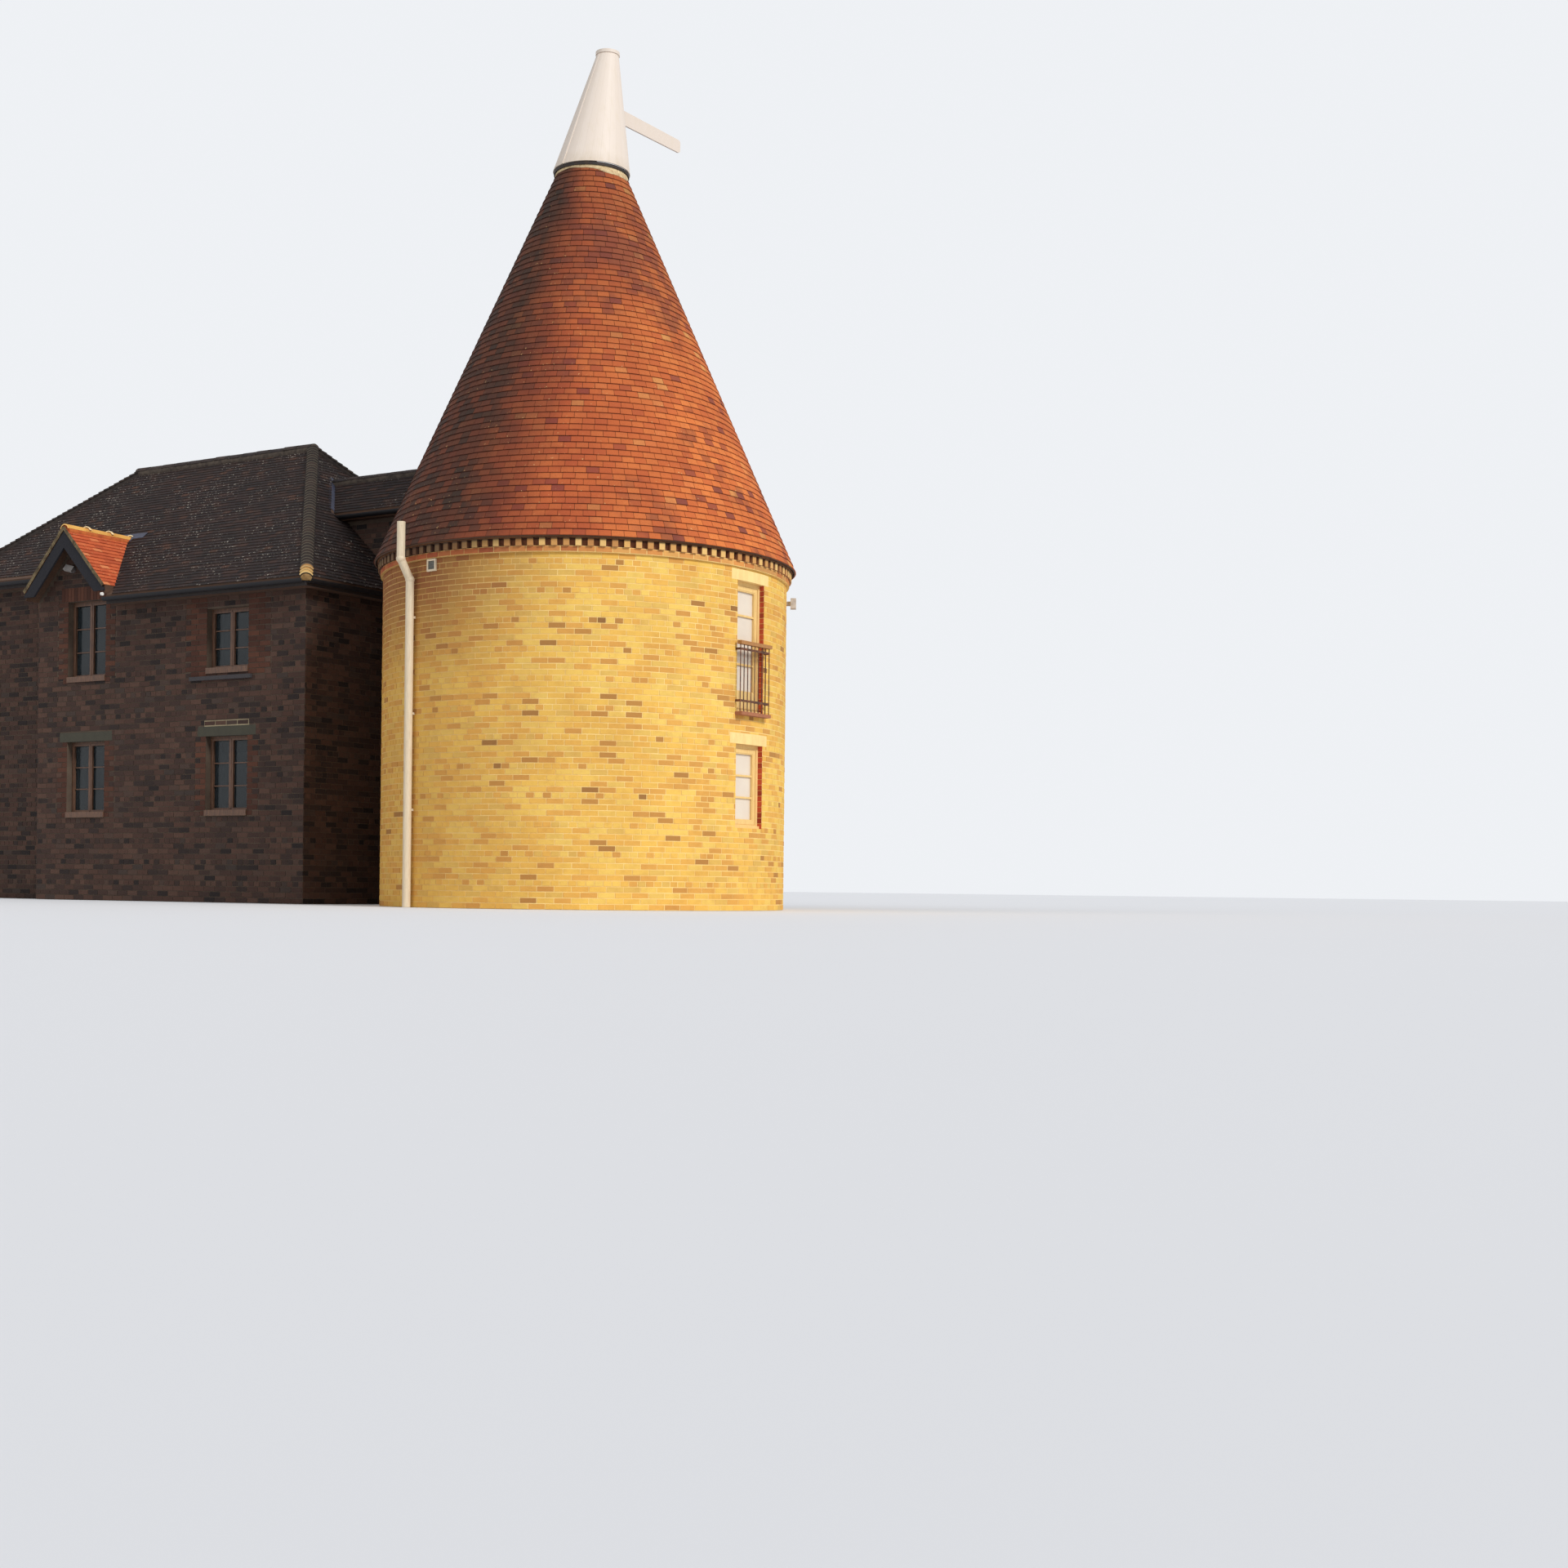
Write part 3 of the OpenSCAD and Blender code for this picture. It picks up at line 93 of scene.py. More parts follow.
# %% [markdown]
# ## Finishes from nodes
# A finish is a small machine of nodes. Written one node at a time it is hard to read, so three short
# classes help. A Signal wraps the output of a node, and sums or products of signals add the Math
# nodes for them. A Graph adds any other node through a single method. A Finish is the graph of one
# material. Colours are written as on a paint chart, with red, green and blue from 0 to 255.

# %% Signals, graphs and finishes
def shade(red, green, blue):
    """A colour of the paint chart as the plain light values that Blender mixes."""
    parts = (v / 255 for v in (red, green, blue))
    return tuple(v / 12.92 if v < 0.0404 else ((v + 0.055) / 1.055) ** 2.4 for v in parts)


class Signal:
    """The output of a node, which takes part in sums as a number does."""

    def __init__(self, graph, socket):
        self.graph, self.socket = graph, socket

    def __add__(self, other):
        return self.graph.maths("ADD", self, other)

    def __sub__(self, other):
        return self.graph.maths("SUBTRACT", self, other)

    def __rsub__(self, other):
        return self.graph.maths("SUBTRACT", other, self)

    def __mul__(self, other):
        return self.graph.maths("MULTIPLY", self, other)

    def __truediv__(self, other):
        return self.graph.maths("DIVIDE", self, other)

    def __rtruediv__(self, other):
        return self.graph.maths("DIVIDE", other, self)

    def __gt__(self, other):
        return self.graph.maths("GREATER_THAN", self, other)

    def __lt__(self, other):
        return self.graph.maths("LESS_THAN", self, other)

    __radd__, __rmul__ = __add__, __mul__

    def between(self, low, high):
        """0 below low, 1 above high and a ramp from one to the other."""
        reach = {"Value": self, "From Min": low, "From Max": high}
        return self.graph.node("ShaderNodeMapRange", {"clamp": True}, reach)


class Graph:
    """The nodes of a material or of the world."""

    def __init__(self, owner):
        owner.use_nodes = True
        self.tree = owner.node_tree
        self.tree.nodes.clear()

    def put(self, socket, value):
        if isinstance(value, Signal):
            self.tree.links.new(value.socket, socket)
        elif socket.type == "RGBA":
            socket.default_value = (*shade(*value), 1)
        else:
            socket.default_value = value

    def node(self, kind, settings=None, inputs=None, out=0):
        """Any node: its settings come first, then the values or links of its sockets."""
        made = self.tree.nodes.new(kind)
        for key, value in (settings or {}).items():
            if key == "stops":
                stops = [(where, (*shade(*colour), 1)) for where, colour in value]
                band = made.color_ramp.elements
                for end in (0, -1):
                    band[end].position, band[end].color = stops[end]
                for where, colour in stops[1:-1]:
                    band.new(where).color = colour
            else:
                setattr(made, key, value)
        for key, value in (inputs or {}).items():
            self.put(made.inputs[key], value)
        return Signal(self, made.outputs[out]) if made.outputs else None

    def maths(self, operation, *values):
        return self.node("ShaderNodeMath", {"operation": operation}, dict(enumerate(values)))


class Finish(Graph):
    """One material, built from a Principled shader and whatever feeds it."""

    def __init__(self, name, roughness=0.8, metallic=0.0, shine=0.5, **others):
        self.material = bpy.data.materials.new(name)
        super().__init__(self.material)
        others |= {"Roughness": roughness, "Metallic": metallic, "Specular IOR Level": shine}
        surface = self.node("ShaderNodeBsdfPrincipled", {}, others)
        self.node("ShaderNodeOutputMaterial", {}, {"Surface": surface})
        self.sockets = surface.socket.node.inputs
        self.place = self.node("ShaderNodeTexCoord", out="Object")

    def noise(self, scale, detail=3, stretch=None):
        where = self.place
        if stretch:
            where = self.node("ShaderNodeVectorMath", {"operation": "MULTIPLY"}, {0: where, 1: stretch})
        return self.node("ShaderNodeTexNoise", {}, {"Vector": where, "Scale": scale, "Detail": detail})

    def mix(self, share, first, second):
        return self.node("ShaderNodeMix", {"data_type": "RGBA"}, {0: share, 6: first, 7: second}, 2)

    def ramp(self, share, *stops):
        return self.node("ShaderNodeValToRGB", {"stops": stops}, {"Fac": share})

    def draw(self, number):
        """A number drawn by lot between 0 and 1, the same one wherever number is the same."""
        return self.node("ShaderNodeTexWhiteNoise", {"noise_dimensions": "1D"}, {"W": number})

    def carried(self, name="lot"):
        """A number that the mesh carries: the lot of a brick or tile, or how far up the tile a point is."""
        return self.node("ShaderNodeAttribute", {"attribute_name": name}, out="Fac")

    def part(self, axis):
        return self.node("ShaderNodeSeparateXYZ", {}, {0: self.place}, axis)

    def turn(self, x, y, parts):
        """The angle of x, y round the axis, counted in equal parts of the whole turn."""
        return self.maths("ARCTAN2", y, x) * (parts / (2 * math.pi))

    def wear(self, colour, bumps=None, height=0.002, roughness=None):
        """Feeds the shader its colour, the bumps of its surface in metres and its roughness."""
        self.put(self.sockets["Base Color"], colour)
        if bumps:
            bump = {"Strength": 1.0, "Distance": height, "Height": bumps}
            self.put(self.sockets["Normal"], self.node("ShaderNodeBump", {}, bump))
        if roughness:
            self.put(self.sockets["Roughness"], roughness)
        return self


def give(finish, *names):
    """Puts a finish on solids that keep their shape."""
    for name in names:
        mesh = solids[name].data
        mesh.materials.clear()
        mesh.materials.append(finish.material)


print("a brick's buff, mixed as light:", [round(v, 3) for v in shade(242, 196, 94)])

# %% [markdown]
# ## Light and floor
# The studio is plain: one broad lamp from the kiln's window side, a weak one from the left, and an
# even pale world. The lamp's disc is wide, so that the shadows have soft edges. The world looks
# brighter to the camera than it is to the walls, which gives a pale backdrop without more light.
# Metal and glass mirror that backdrop too. The floor is plain and pale. It keeps the shadow of the
# house, so that the walls stand on it.

# %% Light and floor
def sun(name, azimuth, elevation, strength, width):
    """A far lamp, azimuth measured from the -Y side towards +X, all angles in degrees."""
    data = bpy.data.lights.new(name, "SUN")
    data.energy, data.angle = strength, math.radians(width)
    a, e = math.radians(azimuth), math.radians(elevation)
    back = Vector((math.sin(a) * math.cos(e), -math.cos(a) * math.cos(e), math.sin(e)))
    add_object(name, data, back.to_track_quat("Z", "Y"))


sun("broad_lamp", 78, 34, 2.25, 14)
sun("left_lamp", -25, 40, 0.42, 40)

world = bpy.data.worlds.new("studio")
bpy.context.scene.world = world
studio = Graph(world)
plain = studio.node("ShaderNodeBackground", {}, {"Color": (247, 249.3, 255), "Strength": 0.48})
backdrop = studio.node("ShaderNodeBackground", {}, {"Color": (238.6, 241, 244.6), "Strength": 1.0})
seen, glossy, through = (
    studio.node("ShaderNodeLightPath", out=f"Is {ray} Ray") for ray in ("Camera", "Glossy", "Transmission")
)
seen = studio.maths("MAXIMUM", studio.maths("MAXIMUM", seen, glossy), through)
sky = studio.node("ShaderNodeMixShader", {}, {"Fac": seen, 1: plain, 2: backdrop})
studio.node("ShaderNodeOutputWorld", {}, {"Surface": sky})
bpy.context.scene.view_settings.view_transform = "Standard"

FLOOR_HALF, FLOOR_DROP = 150, 0.003
floor_mesh = bpy.data.meshes.new("studio_floor")
floor_corners = [(x * FLOOR_HALF, y * FLOOR_HALF, 0) for x, y in ((-1, -1), (1, -1), (1, 1), (-1, 1))]
floor_mesh.from_pydata(floor_corners, [], [(0, 1, 2, 3)])
floor_paint = Finish("studio_floor_paint", 0.9)
floor_paint.wear(floor_paint.mix(floor_paint.noise(0.4, 2) * 0.1, (226, 227, 229), (218, 219, 222)))
floor_mesh.materials.append(floor_paint.material)
studio_floor = add_object("studio_floor", floor_mesh)
studio_floor.location.z = -FLOOR_DROP
studio_floor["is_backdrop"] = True
print("lamps:", len(bpy.data.lights))

# %% [markdown]
# ## Brick, mortar and plaster
# The kiln's bricks are mixed: mostly warm buff and orange, some brown, a few nearly black from the
# clamp. Each brick is a block of its own and carries one random number, its lot. A ramp turns the
# lot into the brick's colour, and noise stains it. The barn's bricks are redder and darker. Towards
# the flank of the kiln that faces away from the broad lamp, brick and mortar are painted browner, and
# redder near the top: this is partly painted shade and partly damp.
# Inside, the walls are plastered. The walls' solids hold both the mortar and the plaster, so their
# finish asks how far a point is from the kiln's axis.

# %% Brick finishes
DRY, KILN_R, KILN_TOP, PLASTER_R = 0.2, 2.850, 4.6, 2.6


def shade_and_damp_side(made, radius):
    """1 on the flank that faces the barn's front and away from the broad lamp, -1 on the flank opposite;
    colours are darkened towards it as painted shade, with some damp.
    """
    return (made.part("X") * -0.86 + made.part("Y") * -0.52) / radius


def wall_shade_and_weather(made, colour, depth=0.8):
    """Painted shade with weathering: the wall is browner towards the flank away from the broad lamp, and
    redder and darker there near its top, which is partly red bricks and partly painted shade.
    """
    side = shade_and_damp_side(made, KILN_R)
    # Painted shade: browner towards the flank away from the broad lamp.
    colour = made.mix(side.between(-0.05, 0.85) * 0.38, colour, (186, 130, 64))
    return made.mix(side.between(0.0, 0.62) * made.part("Z").between(3.0, 4.3) * depth, colour, (128, 72, 50))


def brick_finish(name, *stops, stain=(116, 78, 52), cloudy=0.16, shade_and_weather=None):
    made = Finish(name, 0.86, shine=DRY)
    cloud, grit = made.noise(9, 4), made.noise(160)
    colour = made.ramp(made.carried(), *stops)
    colour = made.mix(cloud.between(0.45, 0.8) * 0.25, colour, stain)
    colour = made.mix(grit.between(0.58, 0.74) * 0.4, colour, stain)
    colour = made.mix(made.noise(0.9).between(0.42, 0.75) * cloudy, colour, stain)
    # Painted shade, with some weathering, from the given function.
    if shade_and_weather:
        colour = shade_and_weather(made, colour)
    return made.wear(colour, grit + cloud * 0.6, 0.003, 0.78 + grit * 0.16)


def wall_finish(name, mortar, dark, grain, round_wall=False):
    """Mortar; on the kiln it takes the bricks' weathering and painted shade, and inside the wall it is
    plaster.
    """
    made = Finish(name, 0.93, shine=DRY)
    sand = made.noise(220, 2)
    colour = made.mix(made.noise(3.0, 4).between(0.35, 0.7), mortar, dark)
    colour = made.mix(sand.between(0.45, 0.65) * 0.3, colour, grain)
    if round_wall:
        colour = wall_shade_and_weather(made, colour, 0.22)
        x, y = made.part("X"), made.part("Y")
        colour = made.mix((x * x + y * y) < PLASTER_R ** 2, colour, (226, 220, 206))
    return made.wear(colour, sand)


kiln_brick = brick_finish(
    "kiln_stock_brick",
    (0.00, (136, 98, 60)), (0.008, (176, 126, 68)), (0.05, (210, 152, 78)), (0.16, (228, 170, 84)),
    (0.35, (237, 185, 88)), (0.60, (242, 196, 94)), (0.86, (242, 203, 104)), (1.00, (224, 182, 94)),
    stain=(176, 120, 60), cloudy=0.30, shade_and_weather=wall_shade_and_weather,
)
barn_brick = brick_finish(
    "barn_red_brick",
    (0.00, (40, 34, 33)), (0.14, (58, 46, 42)), (0.40, (72, 53, 46)), (0.65, (81, 58, 49)),
    (0.88, (92, 68, 57)), (1.00, (66, 56, 51)), stain=(50, 41, 38),
)
dressing_brick = brick_finish(
    "orange_dressing_brick", (0.0, (70, 44, 35)), (0.5, (84, 53, 42)), (1.0, (98, 62, 47)), stain=(62, 44, 36)
)
kiln_mortar = wall_finish("kiln_mortar", (252, 222, 148), (238, 198, 120), (218, 176, 106), True)
barn_mortar = wall_finish("barn_mortar", (98, 84, 71), (74, 62, 54), (90, 76, 62))
give(kiln_mortar, *[n for n in solids if n.startswith("kiln_wall")], "kiln_lower_band")
# Painted shadow: the top ring's mortar is dark for the shade that the tiles cast on it.
give(wall_finish("eave_shade_mortar", (136, 92, 60), (96, 66, 46), (76, 54, 42)), "kiln_upper_band")
give(barn_mortar, *[n for n in solids if n.endswith(("_wall", "_walls"))])
print("finishes so far:", len(bpy.data.materials))

# %% [markdown]
# ## A pile of blocks
# Thousands of bricks as thousands of objects would be slow. A Pile gathers them into one mesh. Every
# block has its own corners, so it keeps its own lot, and it leaves out the face that nobody sees.

# %% The pile
FRONT_AND_SIDES = ((0, 1, 2, 3), (4, 5, 1, 0), (5, 6, 2, 1), (6, 7, 3, 2), (7, 4, 0, 3))
ALL_ROUND = (*FRONT_AND_SIDES, (7, 6, 5, 4))


class Pile:
    """Many small blocks gathered into one mesh."""

    def __init__(self, name, seed):
        self.name, self.corners, self.faces, self.lots, self.heads = name, [], [], [], []
        self.dice = random.Random(seed)

    def block(self, corners, faces, heads=None):
        start = len(self.corners)
        self.heads += heads or [0.0] * len(corners)
        self.corners += corners
        self.faces += [tuple(start + i for i in face) for face in faces]
        self.lots += [self.dice.random()] * len(corners)

    def slab(self, place, u0, u1, z0, z1, h0, h1, faces=ALL_ROUND):
        """A block between two widths, two heights and two depths of a placed frame."""
        outline = ((u0, z0), (u1, z0), (u1, z1), (u0, z1))
        self.block([place(u, z, h) for h in (h1, h0) for u, z in outline], faces)

    def build(self, finish, slot, smooth=False, crease=None, instead_of=()):
        """Makes the mesh, smooth where it is asked for; crease is the angle that stays an edge."""
        mesh = bpy.data.meshes.new(self.name)
        mesh.from_pydata(self.corners, [], self.faces)
        for name, values in (("lot", self.lots), ("head", self.heads)):
            mesh.attributes.new(name, "FLOAT", "POINT").data.foreach_set("value", values)
        mesh.polygons.foreach_set("use_smooth", [smooth] * len(mesh.polygons))
        if crease:
            mesh.set_sharp_from_angle(angle=math.radians(crease))
        mesh.materials.append(finish.material)
        mesh.validate()
        made = add_object(self.name, mesh)
        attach(made, "house")
        if instead_of:
            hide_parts(*instead_of)
        print(self.name, len(self.faces), "faces")


print("a block shows", len(FRONT_AND_SIDES), "faces")

# %% [markdown]
# ## Laying bricks
# The kiln is laid in courses of 75 mm, the older barn in courses of 80 mm. Most courses show the
# long sides of the bricks, and every fourth shows their ends, which tie the wall together. On the
# kiln it is every fifth. A brick that meets an opening is cut to it, as a bricklayer would. The
# wall's own shape comes from a place function: it turns a length along the wall, a height and a
# depth into a point, so that one loop lays round and flat walls alike.

# %% Laying bricks
COURSE, BARN_COURSE, LONG, JOINT = 0.075, 0.080, 0.225, 0.012
PROUD, KILN_PROUD, FLUSH, WOBBLE = 0.005, 0.004, 0.0055, 0.0015
SLIVER, SHORTEST = 0.018, 0.02


def rows_of(z0, z1, high):
    """The feet and heads of the rows that share a height evenly."""
    rows = max(1, round((z1 - z0) / high))
    step = (z1 - z0) / rows
    return [(z0 + row * step, z0 + (row + 1) * step) for row in range(rows)]


def cut_to(piece, holes):
    """What is left of a brick's outline beside, under and over the openings."""
    left = [piece]
    for a0, a1, c0, c1 in holes:
        kept = []
        for u0, u1, z0, z1 in left:
            if u1 <= a0 or u0 >= a1 or z1 <= c0 or z0 >= c1:
                kept.append((u0, u1, z0, z1))
                continue
            kept += [(u0, a0, z0, z1), (a1, u1, z0, z1)]
            kept += [(max(u0, a0), min(u1, a1), z0, c0), (max(u0, a0), min(u1, a1), c1, z1)]
        left = [k for k in kept if k[1] - k[0] > SLIVER and k[3] - k[2] > SLIVER]
    return left


def lay_bricks(
    pile, place, u0, u1, z0, z1, holes=(), header_row=4, proud=PROUD, closed=False, first_row=0,
    high=BARN_COURSE,
):
    """Courses between two ends and two heights; closed is for a wall that runs right round."""
    for row, (foot, head) in enumerate(rows_of(z0, z1, high), first_row):
        headers = header_row and row % header_row == header_row - 1
        step = LONG / 2 if headers else LONG
        bricks = range(-1, int((u1 - u0) / step) + 2)
        if closed:
            bricks = range(max(1, round((u1 - u0) / step)))
            step = (u1 - u0) / len(bricks)
        start = u0 + (0.25 if headers else 0.5 * (row % 2)) * step
        for i in bricks:
            a, b = start + i * step + JOINT / 2, start + (i + 1) * step - JOINT / 2
            if not closed:
                a, b = max(a, u0), min(b, u1)
            out = proud + pile.dice.uniform(-WOBBLE, WOBBLE)
            if b - a >= SHORTEST:
                for outline in cut_to((a, b, foot + JOINT / 2, head - JOINT / 2), holes):
                    pile.slab(place, *outline, 0, out, FRONT_AND_SIDES)


def round_wall(radius):
    return lambda u, z, h: ((radius + h) * math.cos(u / radius), (radius + h) * math.sin(u / radius), z)


def flat_wall(distance, heading):
    """A wall at a distance from the kiln's axis; heading, in degrees, is the way it faces."""
    c, s = math.cos(math.radians(heading)), math.sin(math.radians(heading))
    return lambda u, z, h: ((distance + h) * c - u * s, (distance + h) * s + u * c, z)


def lay_ring(pile, radius, z0, z1, holes=(), header_row=0):
    ends = -math.pi * radius, math.pi * radius
    lay_bricks(pile, round_wall(radius), *ends, z0, z1, holes, header_row, KILN_PROUD, True, high=COURSE)


print("bricks to a metre of height:", round(1 / COURSE, 1))

# %% The kiln's bricks
WINDOWS_FACE = -2
KILN_WINDOWS = ((2.665, 4.430), (1.110, 2.240))
LINTEL, SILL_FOOT, LINK_FROM, LINK_TO = 0.145, 2.620, 150.4, 174.0


def stretch(half, z0, z1):
    """The part of the round wall that an opening with straight sides takes up."""
    middle, reach = KILN_R * math.radians(WINDOWS_FACE), KILN_R * math.asin(half / KILN_R)
    return middle - reach, middle + reach, z0, z1


kiln_holes = [stretch(0.320, *window) for window in KILN_WINDOWS]
kiln_holes += [stretch(0.440, head, head + LINTEL) for _, head in KILN_WINDOWS]
kiln_holes.append(stretch(0.350, SILL_FOOT, KILN_WINDOWS[0][0]))
kiln_holes.append((KILN_R * math.radians(LINK_FROM), KILN_R * math.radians(LINK_TO), 0.0, KILN_TOP))
kiln_courses = Pile("kiln_brick_courses", 11)
lay_ring(kiln_courses, KILN_R, 0, KILN_TOP, kiln_holes, 5)
kiln_courses.build(kiln_brick, "kiln_brick")

# %% [markdown]
# Two rings of bricks step out under the roof. Between them stands the dentil course: bricks laid on
# edge, with a brick's width of air between one and the next. The row of dark gaps is the only ornament
# on the wall. The solids have the teeth already. Their finish counts round the axis and draws a lot
# for every tooth. It also paints shade: darker in the recess between the teeth, on the flank away
# from the broad lamp, and on their heads, where the tiles cast shadow. The top ring sits in the
# shade of the tiles, and its bricks and mortar are painted dark for that shadow.

# %% Bands under the roof
BAND_R, TEETH, RECESS_R, TOOTH_R = 2.89, 117, 2.902, 2.919


def band_painted_shade(made, colour):
    """Painted light and shade: the band keeps a sunny yellow on the window's side and is painted dark red
    towards the flank away from the broad lamp.
    """
    return made.mix(shade_and_damp_side(made, BAND_R).between(-0.30, 0.45) * 0.75, colour, (164, 80, 52))


band_brick = brick_finish(
    "kiln_band_brick",
    (0.00, (140, 90, 58)), (0.15, (196, 122, 70)), (0.45, (224, 152, 82)), (0.75, (236, 176, 98)),
    (1.00, (196, 142, 84)), shade_and_weather=band_painted_shade,
)
# Painted shadow: the top ring's bricks are dark for the shade that the tiles cast on them.
eave_shade_brick = brick_finish(
    "eave_shade_band_brick", (0.0, (96, 66, 46)), (0.5, (122, 82, 54)), (1.0, (150, 102, 64)), stain=(50, 36, 30)
)
for name, seed, radius, z0, z1, finish in (
    ("kiln_band_bricks", 12, 2.888, 4.600, 4.675, band_brick),
    ("kiln_top_band_bricks", 19, 2.930, 4.7785, 4.8255, eave_shade_brick),
):
    band = Pile(name, seed)
    lay_ring(band, radius, z0, z1)
    band.build(finish, "kiln_brick")

tooth_brick = Finish("dentil_brick", 0.86)
x, y = tooth_brick.part("X"), tooth_brick.part("Y")
tooth = tooth_brick.maths("FLOOR", tooth_brick.turn(x, y, TEETH) + 0.5)
tone = tooth_brick.ramp(
    tooth_brick.draw(tooth),
    (0.0, (188, 130, 72)), (0.35, (222, 168, 94)), (0.75, (236, 196, 122)), (1.0, (204, 140, 78)),
)
grit = tooth_brick.noise(150)
tone = tooth_brick.mix(grit.between(0.56, 0.72) * 0.4, tone, (124, 84, 56))
# Painted shade: the recess between the teeth is darker.
tone = tooth_brick.mix((x * x + y * y).between(RECESS_R ** 2, TOOTH_R ** 2), (146, 92, 60), tone)
# Painted shade: darker towards the flank away from the broad lamp.
tone = tooth_brick.mix(shade_and_damp_side(tooth_brick, KILN_R).between(0.15, 0.62) * 0.85, tone, (74, 50, 40))
# Painted shadow: the teeth's heads are dark under the tiles' edge.
tone = tooth_brick.mix(tooth_brick.part("Z").between(4.742, 4.766) * 0.8, tone, (62, 42, 32))
give(tooth_brick.wear(tone, grit, 0.003), "kiln_dentil_course")

# %% [markdown]
# ## Red bricks beside the openings
# The bricks that turn the corner into an opening were picked for colour. On the kiln they are red.
# On the barn they are a little redder than the wall and make a stepped edge beside each window, long
# and short in turn, so that they lock into the wall. The main wall has to leave room for them.

# %% Reveals and stepped edges
REVEAL_EDGE, REVEAL_IN, REVEAL_OUT, REVEAL_GAP = 0.3199, 2.752, 2.829, 0.004
kiln_reveal = Pile("kiln_reveal_bricks", 13)
facing_windows = flat_wall(0, WINDOWS_FACE)
for z0, z1 in KILN_WINDOWS:
    for side in (-1, 1):
        for foot, head in rows_of(z0, z1, COURSE):
            kiln_reveal.slab(
                lambda u, z, proud: facing_windows(side * (REVEAL_EDGE - proud), z, u),
                *(REVEAL_IN, REVEAL_OUT)[::side], foot + REVEAL_GAP, head - REVEAL_GAP, 0, 0.004,
            )
reveal_brick = brick_finish(
    "kiln_reveal_brick", (0.0, (150, 62, 42)), (0.5, (194, 80, 52)), (1.0, (208, 98, 62)), stain=(132, 62, 44)
)
kiln_reveal.build(reveal_brick, "kiln_brick")


def stepped_edges(pile, place, middle, half, z0, z1, bricks):
    """Short and long rows in turn on both sides of an opening; returns the room they take."""
    room = []
    for row, (foot, head) in enumerate(rows_of(z0, z1, BARN_COURSE)):
        reach = bricks[row % 2] + JOINT
        parts = 2 if reach > LONG + JOINT else 1
        for left, gap in ((middle - half - reach, JOINT), (middle + half, 0)):
            room.append((left, left + reach, foot, head))
            for k in range(parts):
                u = left + gap + k * reach / parts
                span = (u, u + reach / parts - JOINT, foot + JOINT / 2, head - JOINT / 2)
                pile.slab(place, *span, 0, FLUSH, FRONT_AND_SIDES)
    return room


# %% [markdown]
# ## The barn's walls
# The barn is a plain box with a narrower part at its far end. Each wall is laid as one stretch of
# bricks, with the openings, lintels and sills left out. A table lists the openings, so that the
# holes, the stepped edges and later the glazing bars all come from the same numbers. The triangle
# under the gable is laid row by row, and each row is a little shorter than the one below.

# %% The barn's openings
NEAR_X, STEP_X, FAR_X = -3.830, -9.680, -12.470
FRONT_Y, BACK_Y, FAR_FRONT_Y, FAR_BACK_Y = -1.670, 3.770, -1.100, 3.200
WALL_TOP, FAR_WALL_TOP = 4.6, 5.1
WINDOW_X, GABLE_X, HALF = -5.420, -8.540, 0.44
SHORT_AND_LONG, LONG_AND_LONGER = (0.1025, 0.2150), (0.3325, 0.4450)
# Front 1 or back -1, middle, half width, foot, head, foot and head of the stepped edge, half a lintel.
OPENINGS = (
    (1, WINDOW_X, HALF, 3.44, 4.42, 3.4025, 4.60, 0), (1, GABLE_X, HALF, 3.44, 4.72, 3.42, 4.72, 0),
    (1, WINDOW_X, HALF, 1.30, 2.50, 1.30, 2.50, 0.61), (1, GABLE_X, HALF, 1.30, 2.50, 1.30, 2.50, 0.61),
    (-1, WINDOW_X, HALF, 3.44, 4.42, 3.42, 4.42, 0), (-1, GABLE_X, HALF, 3.44, 4.42, 3.42, 4.42, 0),
    (-1, WINDOW_X, HALF, 1.30, 2.50, 1.30, 2.50, 0.61), (-1, GABLE_X, 0.45, 0.15, 2.20, 0.15, 2.20, 0.62),
)
front, back = flat_wall(-FRONT_Y, -90), flat_wall(BACK_Y, 90)
dressings = Pile("barn_stepped_edges", 14)


def wall_holes(place, side, *more):
    """Room for the openings, lintels and stepped edges of the front or the back."""
    here = [opening[1:] for opening in OPENINGS if opening[0] == side]
    holes = [(side * x - half, side * x + half, z0, z1) for x, half, z0, z1, *_ in here]
    holes += [(side * x - over, side * x + over, z1, z1 + LINTEL) for x, _, _, z1, *_, over in here if over]
    holes += more
    for x, half, _, _, z0, z1, _ in here:
        bricks = LONG_AND_LONGER if z1 == WALL_TOP else SHORT_AND_LONG
        holes += stepped_edges(dressings, place, side * x, half, z0, z1, bricks)
    return holes


front_holes = wall_holes(front, 1, (-6.190, -4.900, 3.3425, 3.4025))
front_holes.append((WINDOW_X - 0.47, WINDOW_X + 0.47, 2.665, 2.735))
front_holes.append((GABLE_X - 0.60, GABLE_X + 0.60, 4.72, 4.945))
print("openings in the barn:", len(OPENINGS))

# %% The barn's bricks
RIDGE_X, GABLE_HALF, GABLE_EAVES_Z, GABLE_RIDGE_Z = -8.780, 0.930, 4.890, 5.860
GABLE_RISE = (GABLE_RIDGE_Z - GABLE_EAVES_Z) / GABLE_HALF
GABLE_WALL_TOP, GABLE_WALL_HALF, GABLE_ROWS, ROWS_BELOW = 5.667, 0.899, 13, 57
SOLDIERS, SOLDIER_STEP = 16, 0.075

